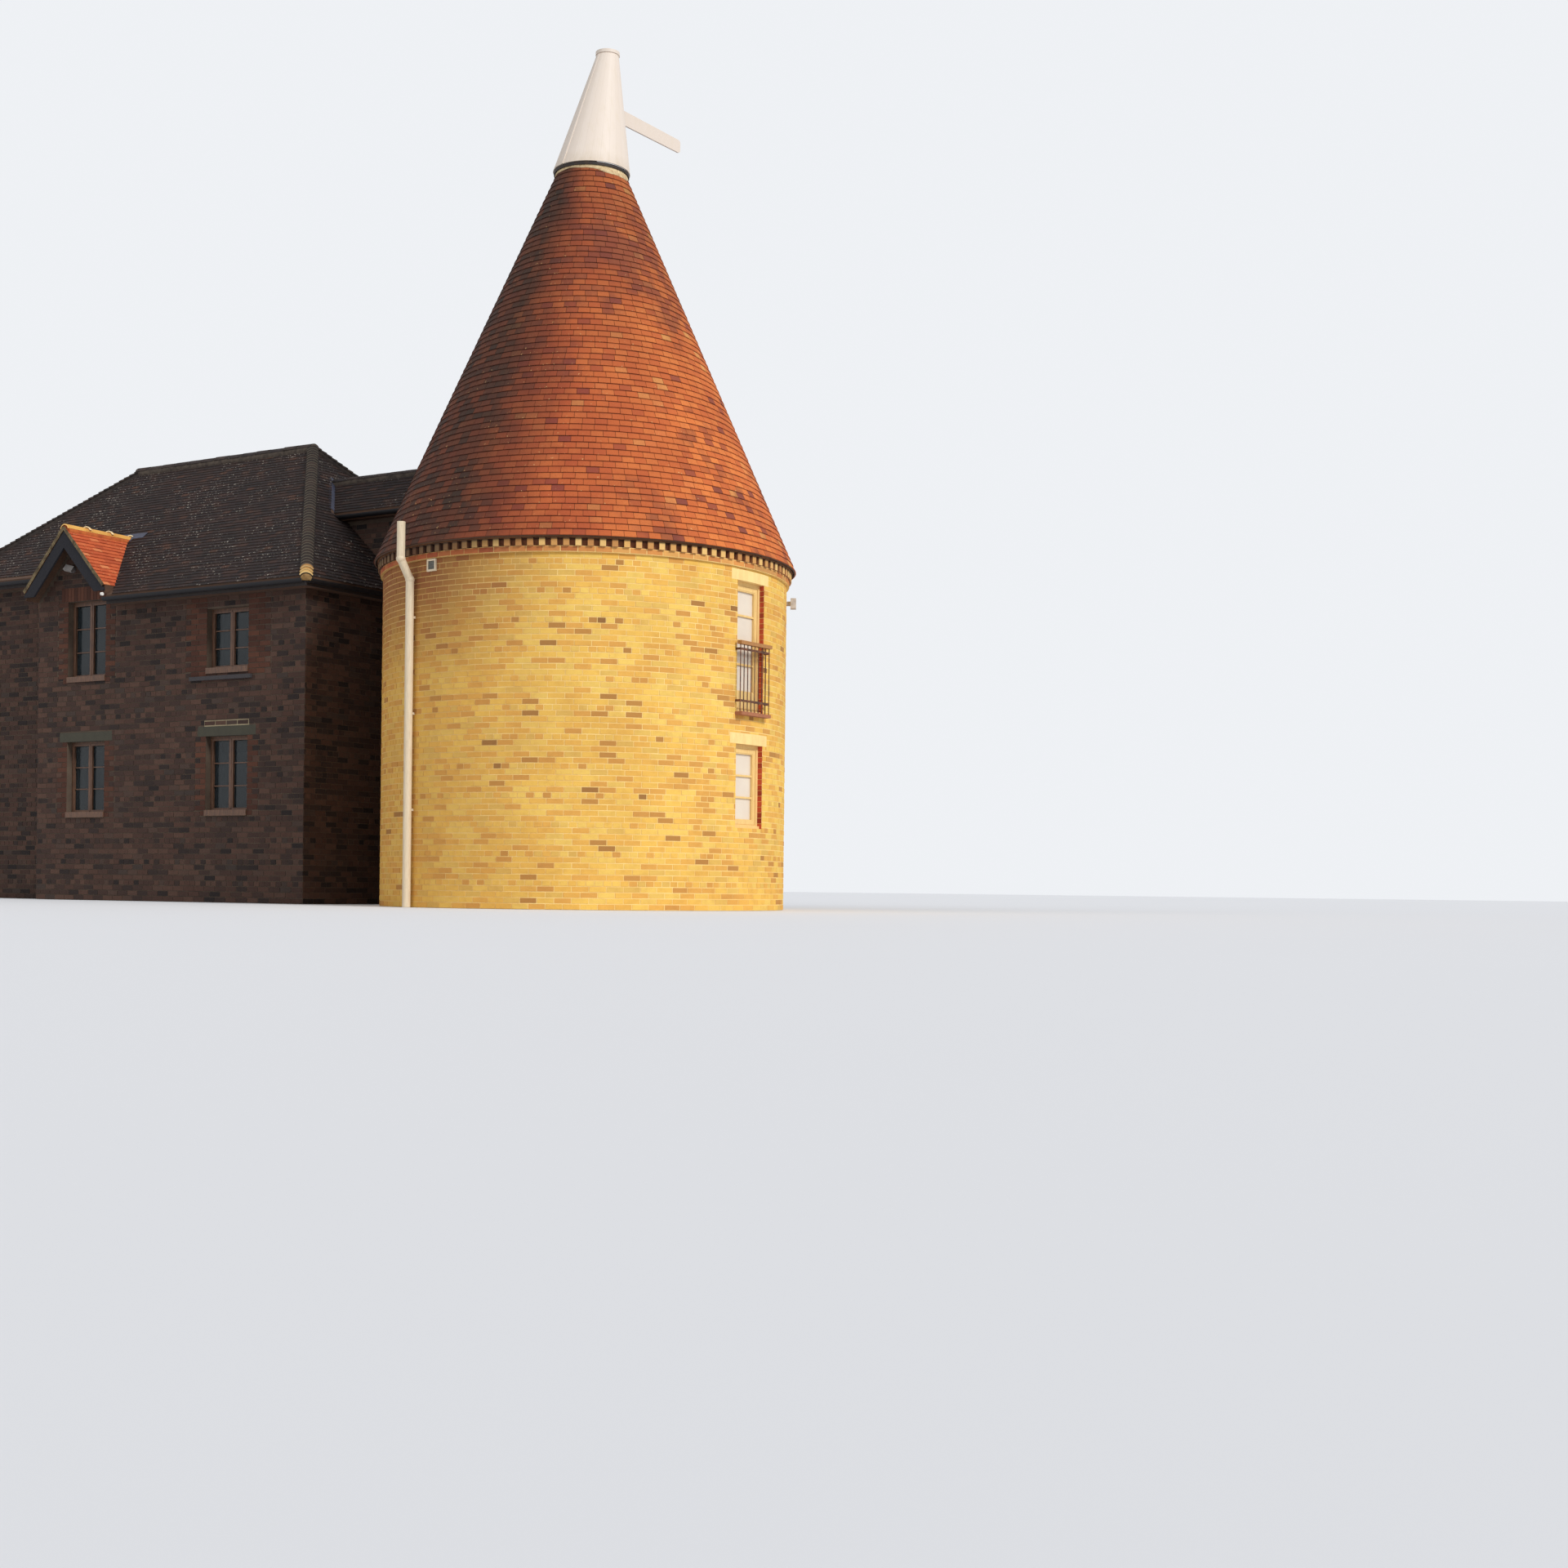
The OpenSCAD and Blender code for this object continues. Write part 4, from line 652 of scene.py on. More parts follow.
for i in range(SOLDIERS):
    u = GABLE_X - 0.60 + i * SOLDIER_STEP
    dressings.slab(front, u + 0.004, u + 0.071, 4.724, 4.940, 0, FLUSH, FRONT_AND_SIDES)
barn_courses = Pile("barn_brick_courses", 15)
lay_bricks(barn_courses, front, STEP_X, NEAR_X, 0, WALL_TOP, front_holes)
gable_rows = Pile("gable_brick_courses", 16)
for row in range(GABLE_ROWS):
    z = WALL_TOP + row * BARN_COURSE
    half = min((GABLE_WALL_TOP - (z + BARN_COURSE)) / GABLE_RISE, GABLE_WALL_HALF)
    if half > 0.05:
        ends = RIDGE_X - half, RIDGE_X + half
        lay_bricks(gable_rows, front, *ends, z, z + BARN_COURSE, front_holes, first_row=row + ROWS_BELOW)
gable_rows.build(barn_brick, "barn_brick")
step_wall = flat_wall(-STEP_X, 180)
for wall, u0, u1, top, holes in (
    (back, -NEAR_X, -STEP_X, WALL_TOP, wall_holes(back, -1)),
    (flat_wall(NEAR_X, 0), FRONT_Y, BACK_Y, WALL_TOP, [(0.262, 1.438, 0, WALL_TOP)]),
    (flat_wall(-FAR_X, 180), -FAR_BACK_Y, -FAR_FRONT_Y, FAR_WALL_TOP, ()),
    (flat_wall(-FAR_FRONT_Y, -90), FAR_X, STEP_X, FAR_WALL_TOP, ()),
    (flat_wall(FAR_BACK_Y, 90), -STEP_X, -FAR_X, FAR_WALL_TOP, ()),
    (step_wall, -FAR_FRONT_Y, -FRONT_Y, WALL_TOP, ()),
    (step_wall, -BACK_Y, -FAR_BACK_Y, WALL_TOP, ()),
):
    lay_bricks(barn_courses, wall, u0, u1, 0, top, holes)
barn_courses.build(barn_brick, "barn_brick")
dressings.build(dressing_brick, "barn_brick")

pointing, relief = Pile("lintel_row_mortar", 20), Pile("lintel_row_bricks", 17)
pointing.slab(front, WINDOW_X - 0.47, WINDOW_X + 0.47, 2.646, 2.735, 0, 0.004, FRONT_AND_SIDES)
pointing.build(wall_finish("pale_pointing", (176, 162, 132), (134, 120, 96), (120, 100, 76)), "barn_brick")
for i in range(4):
    u = WINDOW_X - 0.46 + i * 0.232
    relief.slab(front, u, u + 0.214, 2.664, 2.722, 0, 0.008, FRONT_AND_SIDES)
relief.build(barn_brick, "barn_brick")

# %% [markdown]
# The link's walls stand on the ground between the two buildings and run on above the barn's eaves.
# There they end on the slope of the barn's roof on one side and against the cone on the other, so
# every row has its own length.

# %% The link's bricks
CONE_R, CONE_Z, CONE_TOP_Z, CONE_RISE = 2.988, 4.797, 10.4267, 2.2673
HIP_X, EDGE_Z, RISE, HIP_RISE = -3.610, 4.740, 0.91633, 0.96569
LINK_TOP, LINK_ROWS, LINK_WALLS, TUCK = 5.9, 74, ((1, 0.260), (-1, 1.440)), 0.02


def link_row(y, z):
    """Where a row of the link's wall starts and ends, in x."""
    start = NEAR_X if z < EDGE_Z else HIP_X - (z - EDGE_Z) / HIP_RISE - TUCK
    radius = KILN_R if z < KILN_TOP else CONE_R - (z - CONE_Z) / CONE_RISE
    return start, -math.sqrt(radius ** 2 - y ** 2) + TUCK


link_courses = Pile("link_brick_courses", 18)
for row in range(LINK_ROWS):
    foot, head = row * LINK_TOP / LINK_ROWS, row * LINK_TOP / LINK_ROWS + LINK_TOP / LINK_ROWS
    for side, y in LINK_WALLS:
        ends = sorted(side * x for x in link_row(y, foot + BARN_COURSE / 2))
        lay_bricks(link_courses, flat_wall(-side * y, -90 * side), *ends, foot, head, first_row=row)
link_courses.build(barn_brick, "barn_brick")

# %% [markdown]
# ## Clay tiles
# Plain tiles hang in courses. Each covers most of the one below, so that only a strip of about a
# hand's width shows, and its lower edge, the butt, stands a finger's width off the roof. The dark
# line under each course is the shadow of that step. The real step casts it, and the finish also
# paints a band of shade on each tile just under the butt above. Old tiles are hand made: their
# butts don't line up and their faces are slightly domed. One loop lays tiles on any slope. A place
# function gives the slope, and a limits function says where a course starts and ends at any
# height, so that tiles are cut along hips and valleys.

# %% Laying tiles
GAUGE, BARN_GAUGE, TILE, TILE_T, OVERLAP = 0.096, 0.084, 0.165, 0.012, 0.012
TILE_HEAD, TILE_BACK, LIFT, ROUGH, UNEVEN, CUT = 0.002, -0.006, 0.0135, 0.0013, 0.0022, 0.012
DOMES, STEP_IN = (0.0012, 0.0012, 0.0012), 0.5
TILE_FACES = ((0, 1, 4, 5), (1, 2, 3, 4), (6, 7, 1, 0), (7, 8, 2, 1), (8, 9, 3, 2), (10, 6, 0, 5))
TILE_HEADS = [0, 0, 0, 1, 1, 1, -0.3, -0.3, -0.3, 1, 1]


def hang_tile(pile, place, foot, head, sides, top_sides, up, tip, domes):
    """One tile, up off the slope at its foot and twisted by tip; it bulges by the domes between its sides."""
    (left, right), (top_left, top_right) = sides, top_sides
    middle, top_middle = (left + right) / 2, (top_left + top_right) / 2
    pile.block(
        [place(left, foot, up - tip), place(middle, foot, up + domes[0]), place(right, foot, up + tip),
         place(top_right, head, TILE_HEAD), place(top_middle, head, TILE_HEAD + domes[1]),
         place(top_left, head, TILE_HEAD), place(left, foot, up - TILE_T),
         place(middle, foot, up - TILE_T + domes[2]), place(right, foot, up - TILE_T),
         place(top_right, head, TILE_BACK), place(top_left, head, TILE_BACK)],
        TILE_FACES, TILE_HEADS,
    )


def stretches(limits, v0, v1, side):
    """The parts of a course from v0 to v1: limits gives its start, end, and the middle and half of a gap."""
    (a0, c0, middle, g0), (a1, c1, _, g1) = limits(v0), limits(v1)
    if a0 - a1 > STEP_IN:
        a1 = a0  # the wall steps in here, so the course below the step ends upright
    found = [(a0, c0, a1, c1)]
    if g0 > 0:
        found = [(a0, middle - g0, a1, middle - g1), (middle + g0, c0, middle + g1, c1)]
    return found if side == 1 else [(-c0, -a0, -c1, -a1) for a0, c0, a1, c1 in found]


def lay_tiles(pile, place, slope, limits, side=1):
    dice = pile.dice
    for row, (v0, v1) in enumerate(rows_of(0, slope, BARN_GAUGE)):
        v1 = min(v1 + OVERLAP, slope)
        for b0, b1, t0, t1 in stretches(limits, v0, v1, side):
            if max(b1 - b0, t1 - t0) < SHORTEST:
                continue
            shift = (0.5 * (row % 2) + dice.uniform(-0.06, 0.06)) * TILE
            first, last = math.floor((min(b0, t0) - shift) / TILE), math.ceil((max(b1, t1) - shift) / TILE)
            for i in range(first, last):
                left, right = shift + i * TILE + 0.001, shift + (i + 1) * TILE - 0.001
                sides, top_sides = (
                    [min(max(u, low), high) for u in (left, right)] for low, high in ((b0, b1), (t0, t1))
                )
                if sides[1] - sides[0] < CUT and top_sides[1] - top_sides[0] < CUT:
                    continue
                up, tip = LIFT + dice.uniform(-ROUGH, ROUGH), dice.uniform(-ROUGH, ROUGH) * 0.7
                foot = v0 + dice.uniform(-UNEVEN, UNEVEN) if row else v0
                hang_tile(pile, place, foot, v1, sides, top_sides, up, tip, DOMES)


def tile_finish(
    name, *stops, moss, moss_share=0.4, fleck=None, line, rim_weather_and_highlight=None, speckle=0.6, shade_and_weather=None
):
    """Head says how far up a tile a point is: 0 at its butt, 1 at its head, below 0 on the butt's face."""
    made = Finish(name, 0.84, shine=DRY)
    head, cloud, grain, dust = made.carried("head"), made.noise(1.3, 5), made.noise(48, 4), made.noise(240, 2)
    colour = made.ramp(made.carried(), *stops)
    colour = made.mix(cloud.between(0.42, 0.72) * moss_share, colour, moss)
    colour = made.mix(grain.between(0.5, 0.72) * 0.3, colour, moss)
    # Painted shade, with some weathering, from the given function.
    if shade_and_weather:
        colour = shade_and_weather(made, colour, cloud)
    if fleck:
        spots = made.noise(30, 5).between(speckle, speckle + 0.06) * made.noise(1.6, 2).between(0.42, 0.58)
        colour = made.mix(spots * (1 - head.between(0.15, 0.5)), colour, fleck)
    # Painted shade: a dark band near each tile's head, just under the butt of the course above.
    colour = made.mix(head.between(0.74, 0.84) * 0.85, colour, line)
    # Partly weathering, partly a painted highlight: the butt's face is paler.
    if rim_weather_and_highlight:
        colour = made.mix((1 - head.between(-0.25, 0.04)) * 0.85, colour, rim_weather_and_highlight)
    return made.wear(colour, grain + dust * 0.5, 0.003, 0.8 + dust * 0.14)


print("tile courses to a metre of the barn's roof:", round(1 / BARN_GAUGE, 1))

# %% [markdown]
# ## The cone
# The cone is a steep round roof. Its courses get shorter towards the top, so each holds fewer tiles.
# The solid cone reaches out to where the tiles' edges are, so a slightly thinner shell, spun round
# the axis from its outline, takes its place under the tiles.

# %% The cone's shell and tiles
PITCH = math.atan(CONE_RISE)
SHELL_R, SHELL_STEPS, CREASE = CONE_R - 0.0152, 192, 30
SLOPE = (CONE_TOP_Z - CONE_Z) / math.sin(PITCH)
FEWEST, SIDE_GAP = 26, 0.0026

timber = Finish("cone_batten_timber", 0.85)
timber.wear(timber.mix(timber.noise(5, 4, (1, 1, 6)), (96, 66, 46), (62, 44, 32)), timber.noise(60))
outline = [
    (2.7671, 4.827), (2.930, 4.827), (SHELL_R - 0.012, 4.785), (SHELL_R, CONE_Z), (0.4898, CONE_TOP_Z),
    (0.2973, CONE_TOP_Z),
]
turns = [2 * math.pi * i / SHELL_STEPS for i in range(SHELL_STEPS)]
n = len(outline)
cone_shell = Pile("cone_shell", 41)
cone_shell.block(
    [(r * math.cos(a), r * math.sin(a), z) for a in turns for r, z in outline],
    [(i * n + k, (i + 1) % SHELL_STEPS * n + k, (i + 1) % SHELL_STEPS * n + (k + 1) % n, i * n + (k + 1) % n)
     for i in range(SHELL_STEPS) for k in range(n)],
)
cone_shell.build(timber, "kiln_tiles", True, CREASE, ("kiln_roof",))


def cone_place(angle, v, h):
    r = SHELL_R - v * math.cos(PITCH) + h * math.sin(PITCH)
    return (r * math.cos(angle), r * math.sin(angle), CONE_Z + v * math.sin(PITCH) + h * math.cos(PITCH))


def cone_shade_and_weather(made, colour, cloud):
    """Painted shade and weathering: redder and darker towards the flank away from the broad lamp, which is
    painted shade; sooty above; dark patches of whole tiles; and dark growth on that flank, partly painted
    shade.
    """
    z = made.part("Z")
    flank = shade_and_damp_side(made, 5.104 - z * 0.441)
    broken = 0.55 + cloud * 0.9
    # Painted shade: redder and darker away from the broad lamp.
    colour = made.mix(flank.between(-0.72, 0.30) * 0.68 * broken, colour, (144, 61, 42))
    colour = made.mix(z.between(6.6, 10.4) * 0.62 * broken, colour, (108, 58, 41))
    other_lot = made.draw(made.carried() * 91)
    patch = made.noise(0.9, 5, (1, 1, 0.7)) + other_lot * 0.16
    colour = made.mix(patch.between(0.62, 0.72) * 0.6, colour, (108, 60, 50))
    # Dark growth on the flank away from the lamp, partly painted shade.
    growth_and_shade = (flank + cloud * 0.35).between(0.20, 0.70) * (0.70 + other_lot * 0.27)
    return made.mix(growth_and_shade, colour, (53, 43, 36))


kiln_tile = tile_finish(
    "kiln_clay_tile",
    (0.00, (118, 68, 62)), (0.022, (150, 80, 60)), (0.06, (202, 106, 58)), (0.50, (214, 117, 61)),
    (0.94, (224, 130, 68)), (0.972, (224, 130, 72)), (1.00, (224, 162, 92)),
    moss=(164, 80, 48), fleck=(214, 172, 116), speckle=0.655, line=(66, 32, 22), shade_and_weather=cone_shade_and_weather,
)
cone_tiles = Pile("cone_tiles", 21)
dice = cone_tiles.dice
for row, (v0, v1) in enumerate(rows_of(0, SLOPE, GAUGE)):
    radius = SHELL_R - v0 * math.cos(PITCH)
    wide = 2 * math.pi / max(FEWEST, round(2 * math.pi * radius / TILE))
    start = dice.random() * wide
    for i in range(round(2 * math.pi / wide)):
        sides = start + i * wide + SIDE_GAP / radius, start + (i + 1) * wide - SIDE_GAP / radius
        up, foot = dice.uniform(0.0122, 0.0143), v0 + (dice.uniform(-0.0028, 0.0028) if row else 0)
        tip = dice.uniform(-0.001, 0.001)
        head = min(v1 + OVERLAP, SLOPE)
        hang_tile(cone_tiles, cone_place, foot, head, sides, sides, up, tip, (0.0008, 0.001, 0))
cone_tiles.build(kiln_tile, "kiln_tiles")

# %% [markdown]
# ## The barn's, link's and gable's roofs
# The barn's roof is hipped. Its front and back slopes lean in along the hips, step in at the far,
# narrower part, and leave room for the gable. Each slope is a flat plane, so its place function is
# an origin with a direction along the eaves and one up the slope.

# %% Flat slopes
RIDGE_Y, RIDGE_Z, FAR_EDGE_Z, FAR_HIP_X = 1.05, 7.434, 5.2623, -12.690
FRONT_EDGE, BACK_EDGE, FAR_FRONT_EDGE, FAR_BACK_EDGE = -1.890, 3.990, -1.320, 3.420
LINK_Y, LINK_EDGE_Z, LINK_FRONT, LINK_BACK, VERGE_Y = 0.85, 6.0809, 0.110, 1.590, -1.948


def slope_place(origin, eaves, rise):
    """u runs along the eaves, v up the slope, which climbs to the left of the eaves, and h off it."""
    o, along_eaves = Vector(origin), Vector((*eaves, 0))
    up_slope = Vector((-eaves[1], eaves[0], rise)) / math.hypot(1, rise)
    normal = along_eaves.cross(up_slope)
    return lambda u, v, h: tuple(o + along_eaves * u + up_slope * v + normal * h)


def climb(z, v, rise):
    """The height of a point v up a slope that starts at z."""
    return z + v / math.hypot(1, rise) * rise


def barn_limits(side):
    """The front (side 1) or back (side -1) slope, in x: only the front has the gable in it."""

    def limits(v):
        z = climb(EDGE_Z, v, RISE)
        far = STEP_X - 0.020 if z < FAR_EDGE_Z else FAR_HIP_X + (z - FAR_EDGE_Z) / HIP_RISE
        gable = max(0, GABLE_RIDGE_Z - z) / GABLE_RISE if side == 1 else 0
        return far, HIP_X - (z - EDGE_Z) / HIP_RISE, RIDGE_X, gable

    return limits


def hip_limits(y0, y1, z0, link=False):
    """A hip's slope, in y, with the room for the link's roof and walls."""

    def limits(v):
        z = climb(z0, v, HIP_RISE)
        inset = (z - z0) / RISE
        gap = 0.59 if z < 5.95 else (0.74 if z < LINK_EDGE_Z else max(0, (6.759 - z) / RISE + 0.085))
        return y0 + inset, y1 - inset, LINK_Y, gap if link else 0

    return limits


def link_limits(side):
    def limits(v):
        z, across = climb(LINK_EDGE_Z, v, RISE), v / math.hypot(1, RISE)
        y = LINK_FRONT + across if side == 1 else LINK_BACK - across
        r = CONE_R - (z - CONE_Z) / CONE_RISE - 0.03
        return HIP_X - (z - EDGE_Z) / HIP_RISE - 0.01, -math.sqrt(r * r - y * y), 0, 0

    return limits


def gable_limits(v):
    """From the verge to where the slope meets the barn's roof, in y."""
    return VERGE_Y, FRONT_EDGE + (climb(GABLE_EAVES_Z, v, GABLE_RISE) - EDGE_Z) / RISE + 0.01, 0, 0


def slope_length(height, rise):
    return height / rise * math.hypot(1, rise)


barn_tile = tile_finish(
    "barn_clay_tile",
    (0.00, (36, 30, 30)), (0.30, (44, 35, 34)), (0.70, (51, 39, 37)), (0.95, (63, 45, 39)),
    (1.00, (78, 53, 42)),
    moss=(37, 33, 31), fleck=(186, 178, 164), line=(20, 16, 16), rim_weather_and_highlight=(92, 74, 64),
)
gable_tile = tile_finish(
    "gable_clay_tile",
    (0.00, (178, 82, 50)), (0.40, (196, 92, 54)), (0.85, (206, 102, 60)), (1.00, (216, 132, 84)),
    moss=(158, 76, 48), fleck=(234, 190, 130), line=(136, 60, 36),
)
barn_slope, hip_slope = slope_length(RIDGE_Z - EDGE_Z, RISE), slope_length(RIDGE_Z - EDGE_Z, HIP_RISE)
far_hip_slope, link_slope = slope_length(RIDGE_Z - FAR_EDGE_Z, HIP_RISE), 0.74 * math.hypot(1, RISE)
gable_slope = GABLE_HALF * math.hypot(1, GABLE_RISE)
front_slope = slope_place((0, FRONT_EDGE, EDGE_Z), (1, 0), RISE)
gable_slopes = {
    side: slope_place((RIDGE_X + side * GABLE_HALF, 0, GABLE_EAVES_Z), (0, side), GABLE_RISE)
    for side in (1, -1)
}
for name, seed, finish, slot, slopes in (
    ("barn_roof_tiles", 22, barn_tile, "barn_tiles", (
        (front_slope, barn_slope, barn_limits(1), 1),
        (slope_place((0, BACK_EDGE, EDGE_Z), (-1, 0), RISE), barn_slope, barn_limits(-1), -1),
        (slope_place((HIP_X, 0, EDGE_Z), (0, 1), HIP_RISE), hip_slope,
         hip_limits(FRONT_EDGE, BACK_EDGE, EDGE_Z, True), 1),
        (slope_place((FAR_HIP_X, 0, FAR_EDGE_Z), (0, -1), HIP_RISE), far_hip_slope,
         hip_limits(FAR_FRONT_EDGE, FAR_BACK_EDGE, FAR_EDGE_Z), -1),
    )),
    ("link_roof_tiles", 23, barn_tile, "barn_tiles", (
        (slope_place((0, LINK_FRONT, LINK_EDGE_Z), (1, 0), RISE), link_slope, link_limits(1), 1),
        (slope_place((0, LINK_BACK, LINK_EDGE_Z), (-1, 0), RISE), link_slope, link_limits(-1), -1),
    )),
    ("gable_roof_tiles", 24, gable_tile, "gable_tiles", [
        (place, gable_slope, gable_limits, side) for side, place in gable_slopes.items()
    ]),
):
    tiles = Pile(name, seed)
    for slope in slopes:
        lay_tiles(tiles, *slope)
    tiles.build(finish, slot)

verges = Pile("gable_verge_mortar", 39)
for side, place in gable_slopes.items():
    for v0, v1 in rows_of(0, gable_slope, BARN_GAUGE):
        out, high = side * (VERGE_Y - verges.dice.uniform(0.003, 0.009)), verges.dice.uniform(0.019, 0.025)
        verges.slab(place, *sorted((out, side * VERGE_Y)), v0, v0 + 0.94 * (v1 - v0), -0.034, high)

# %% [markdown]
# ## Ridge tiles and bonnets
# Half-round tiles cover the ridges, end to end, with a joint of pale mortar between them. The hips
# are covered with bonnets: one for each course, wide at the foot and narrow at the head, each over
# the one below, with mortar in its mouth. Both are curved shells along a line, so one helper bends
# them all. The solid ridges stay underneath and are the mortar that the tiles are bedded in.

# %% Curved tiles along a line
SHELL_T, MOUTH_IN, MOUTH_DEEP, DISC_LOW = 0.016, 0.008, 0.060, -0.02


def beside(ahead):
    """The directions up from and across a line."""
    up = (Vector((0, 0, 1)) - ahead * ahead.z).normalized()
    return up, ahead.cross(up)


def curved_tiles(pile, start, end, radii, gauge, length, half_turn, jitter, steps=10, mouths=None):
    start, end, foot_r = Vector(start), Vector(end), radii[0]
    ahead = (end - start).normalized()
    up, across = beside(ahead)
    total, n = (end - start).length, steps + 1
    angles = [math.radians(-half_turn + 2 * half_turn * k / steps) for k in range(n)]
    count = max(1, round(total / gauge))
    for i in range(count):
        s0, s1 = i * total / count + 0.003, i * total / count + length
        lift, lean = pile.dice.uniform(-jitter, jitter), pile.dice.uniform(-jitter, jitter)

        def arc(s, r):
            return [
                tuple(start + ahead * s + across * (math.sin(a) * r + lean) + up * (math.cos(a) * r + lift))
                for a in angles
            ]

        strip = [(n + k, n + k + 1, k + 1, k) for k in range(steps)]
        faces = [(k, k + 1, n + k + 1, n + k) for k in range(steps)]
        faces += [(2 * n + k, 2 * n + k + 1, k + 1, k) for k in range(steps)]
        corners = arc(s0, foot_r) + arc(s1, radii[1]) + arc(s0, foot_r - SHELL_T)
        pile.block(corners, faces, [0.0] * n + [1.0] * n + [-0.3] * n)
        if mouths:
            inside = s0 + MOUTH_IN
            mouths.block(arc(inside, foot_r - SHELL_T) + arc(inside, foot_r - MOUTH_DEEP), strip)


def end_disc(pile, centre, ahead, r, steps=16):
    """The mortar that closes the lowest mouth of a hip."""
    up, across = beside(ahead)
    turns = [2 * math.pi * k / steps for k in range(steps)]
    rim = [tuple(centre + across * (math.sin(a) * r) + up * max(math.cos(a) * r, DISC_LOW)) for a in turns]
    pile.block(rim, [tuple(range(steps))])


bonnets, mouths = Pile("hip_bonnets", 25), Pile("hip_mortar", 26)
golden_bonnets, foot_mortar = Pile("golden_bonnets", 29), Pile("golden_bonnet_mortar", 30)
SINK, HIP_GAUGE, GOLDEN = 0.0538, 0.102, 3
NEAR_TOP_X, FAR_TOP_X = -6.3997, -10.441
for x, y, z, top_x in (
    (HIP_X, FRONT_EDGE, EDGE_Z, NEAR_TOP_X), (HIP_X, BACK_EDGE, EDGE_Z, NEAR_TOP_X),
    (FAR_HIP_X, FAR_FRONT_EDGE, FAR_EDGE_Z, FAR_TOP_X), (FAR_HIP_X, FAR_BACK_EDGE, FAR_EDGE_Z, FAR_TOP_X),
):
    foot, head = Vector((x, y, z - SINK)), Vector((top_x, RIDGE_Y, RIDGE_Z - SINK))
    ahead = (head - foot).normalized()
    foot = foot - ahead * 0.004
    bright = (x, y) == (HIP_X, FRONT_EDGE)
    end_disc(foot_mortar if bright else mouths, foot - ahead * 0.002, ahead, 0.088)
    every = (HIP_GAUGE, HIP_GAUGE + 0.02)
    if bright:
        start = foot + ahead * (GOLDEN * HIP_GAUGE)
        curved_tiles(golden_bonnets, foot, start, (0.120, 0.096), *every, 56, 0.004, 12, foot_mortar)
        foot = start
    curved_tiles(bonnets, foot, head, (0.115, 0.099), *every, 54, 0.0015, 12, mouths)
ridges, golden = Pile("barn_ridge_half_rounds", 27), Pile("golden_ridges", 28)
collars = Pile("golden_collars", 40)
BARN_RIDGE_Z, LINK_RIDGE_Z, CREST_Z = RIDGE_Z - 0.0518, 6.7115, GABLE_RIDGE_Z - 0.0475
CREST_Y, COLLAR_STEP = (-1.935, -0.62), 0.41
barn_ridge = [(x, RIDGE_Y, BARN_RIDGE_Z) for x in (-10.50, -6.34)]
link_ridge = [(x, LINK_Y, LINK_RIDGE_Z) for x in (-5.70, -2.05)]
crest, collar_line = ([(RIDGE_X, y + on, CREST_Z) for y in CREST_Y] for on in (0, COLLAR_STEP))
curved_tiles(ridges, *barn_ridge, (0.124, 0.121), 0.31, 0.302, 68, 0.004)
curved_tiles(ridges, *link_ridge, (0.104, 0.101), 0.31, 0.302, 66, 0.003)
curved_tiles(golden, *crest, (0.101, 0.098), 0.44, 0.438, 75, 0.002)
curved_tiles(collars, *collar_line, (0.126, 0.118), 0.44, 0.046, 62, 0.001)

# %% [markdown]
# The tiles of the ridges and hips have pale rims on their butts, partly weathering and partly a
# painted highlight, and the gable's are a golden clay with pale collars at their joints. The lowest
# bonnets beside the link are bright with lichen. Mortar is a single dull colour, broken up by noise,
# so one function mixes all its shades.

# %% Finishes of ridges, bonnets and bedding
bonnet_tile = tile_finish(
    "bonnet_clay_tile", (0.0, (44, 37, 35)), (0.5, (53, 44, 40)), (1.0, (66, 52, 45)),
    moss=(42, 38, 35), line=(22, 20, 19), rim_weather_and_highlight=(134, 126, 110),
)
ridge_tile = tile_finish(
    "ridge_clay_tile", (0.0, (50, 43, 44)), (0.5, (60, 50, 48)), (1.0, (74, 60, 54)), moss=(48, 44, 43),
    fleck=(150, 142, 130), line=(50, 43, 41), rim_weather_and_highlight=(104, 94, 82),
)
golden_tile = tile_finish(
    "golden_ridge_tile", (0.0, (206, 150, 76)), (0.5, (224, 168, 86)), (1.0, (234, 184, 104)),
    moss=(178, 122, 62), moss_share=0.5, line=(200, 140, 70), rim_weather_and_highlight=(250, 208, 132),
)
bright_bonnet = tile_finish(
    "lichen_bonnet_tile", (0.0, (182, 132, 78)), (0.5, (206, 160, 92)), (1.0, (222, 182, 112)),
    moss=(136, 98, 60), moss_share=0.7, line=(62, 42, 32), rim_weather_and_highlight=(250, 222, 160),
)
collar_tile = tile_finish(
    "golden_collar_tile", (0.0, (240, 206, 150)), (0.5, (248, 220, 166)), (1.0, (252, 232, 186)),
    moss=(214, 160, 92), moss_share=0.3, line=(236, 196, 132), rim_weather_and_highlight=(254, 236, 190),
)


def bedding(name, pale, dark, cloud=14, high=0.7, sand=180, height=0.003, roughness=0.94, shine=DRY):
    made = Finish(name, roughness, shine=shine)
    return made.wear(made.mix(made.noise(cloud, 4).between(0.35, high), pale, dark), made.noise(sand), height)


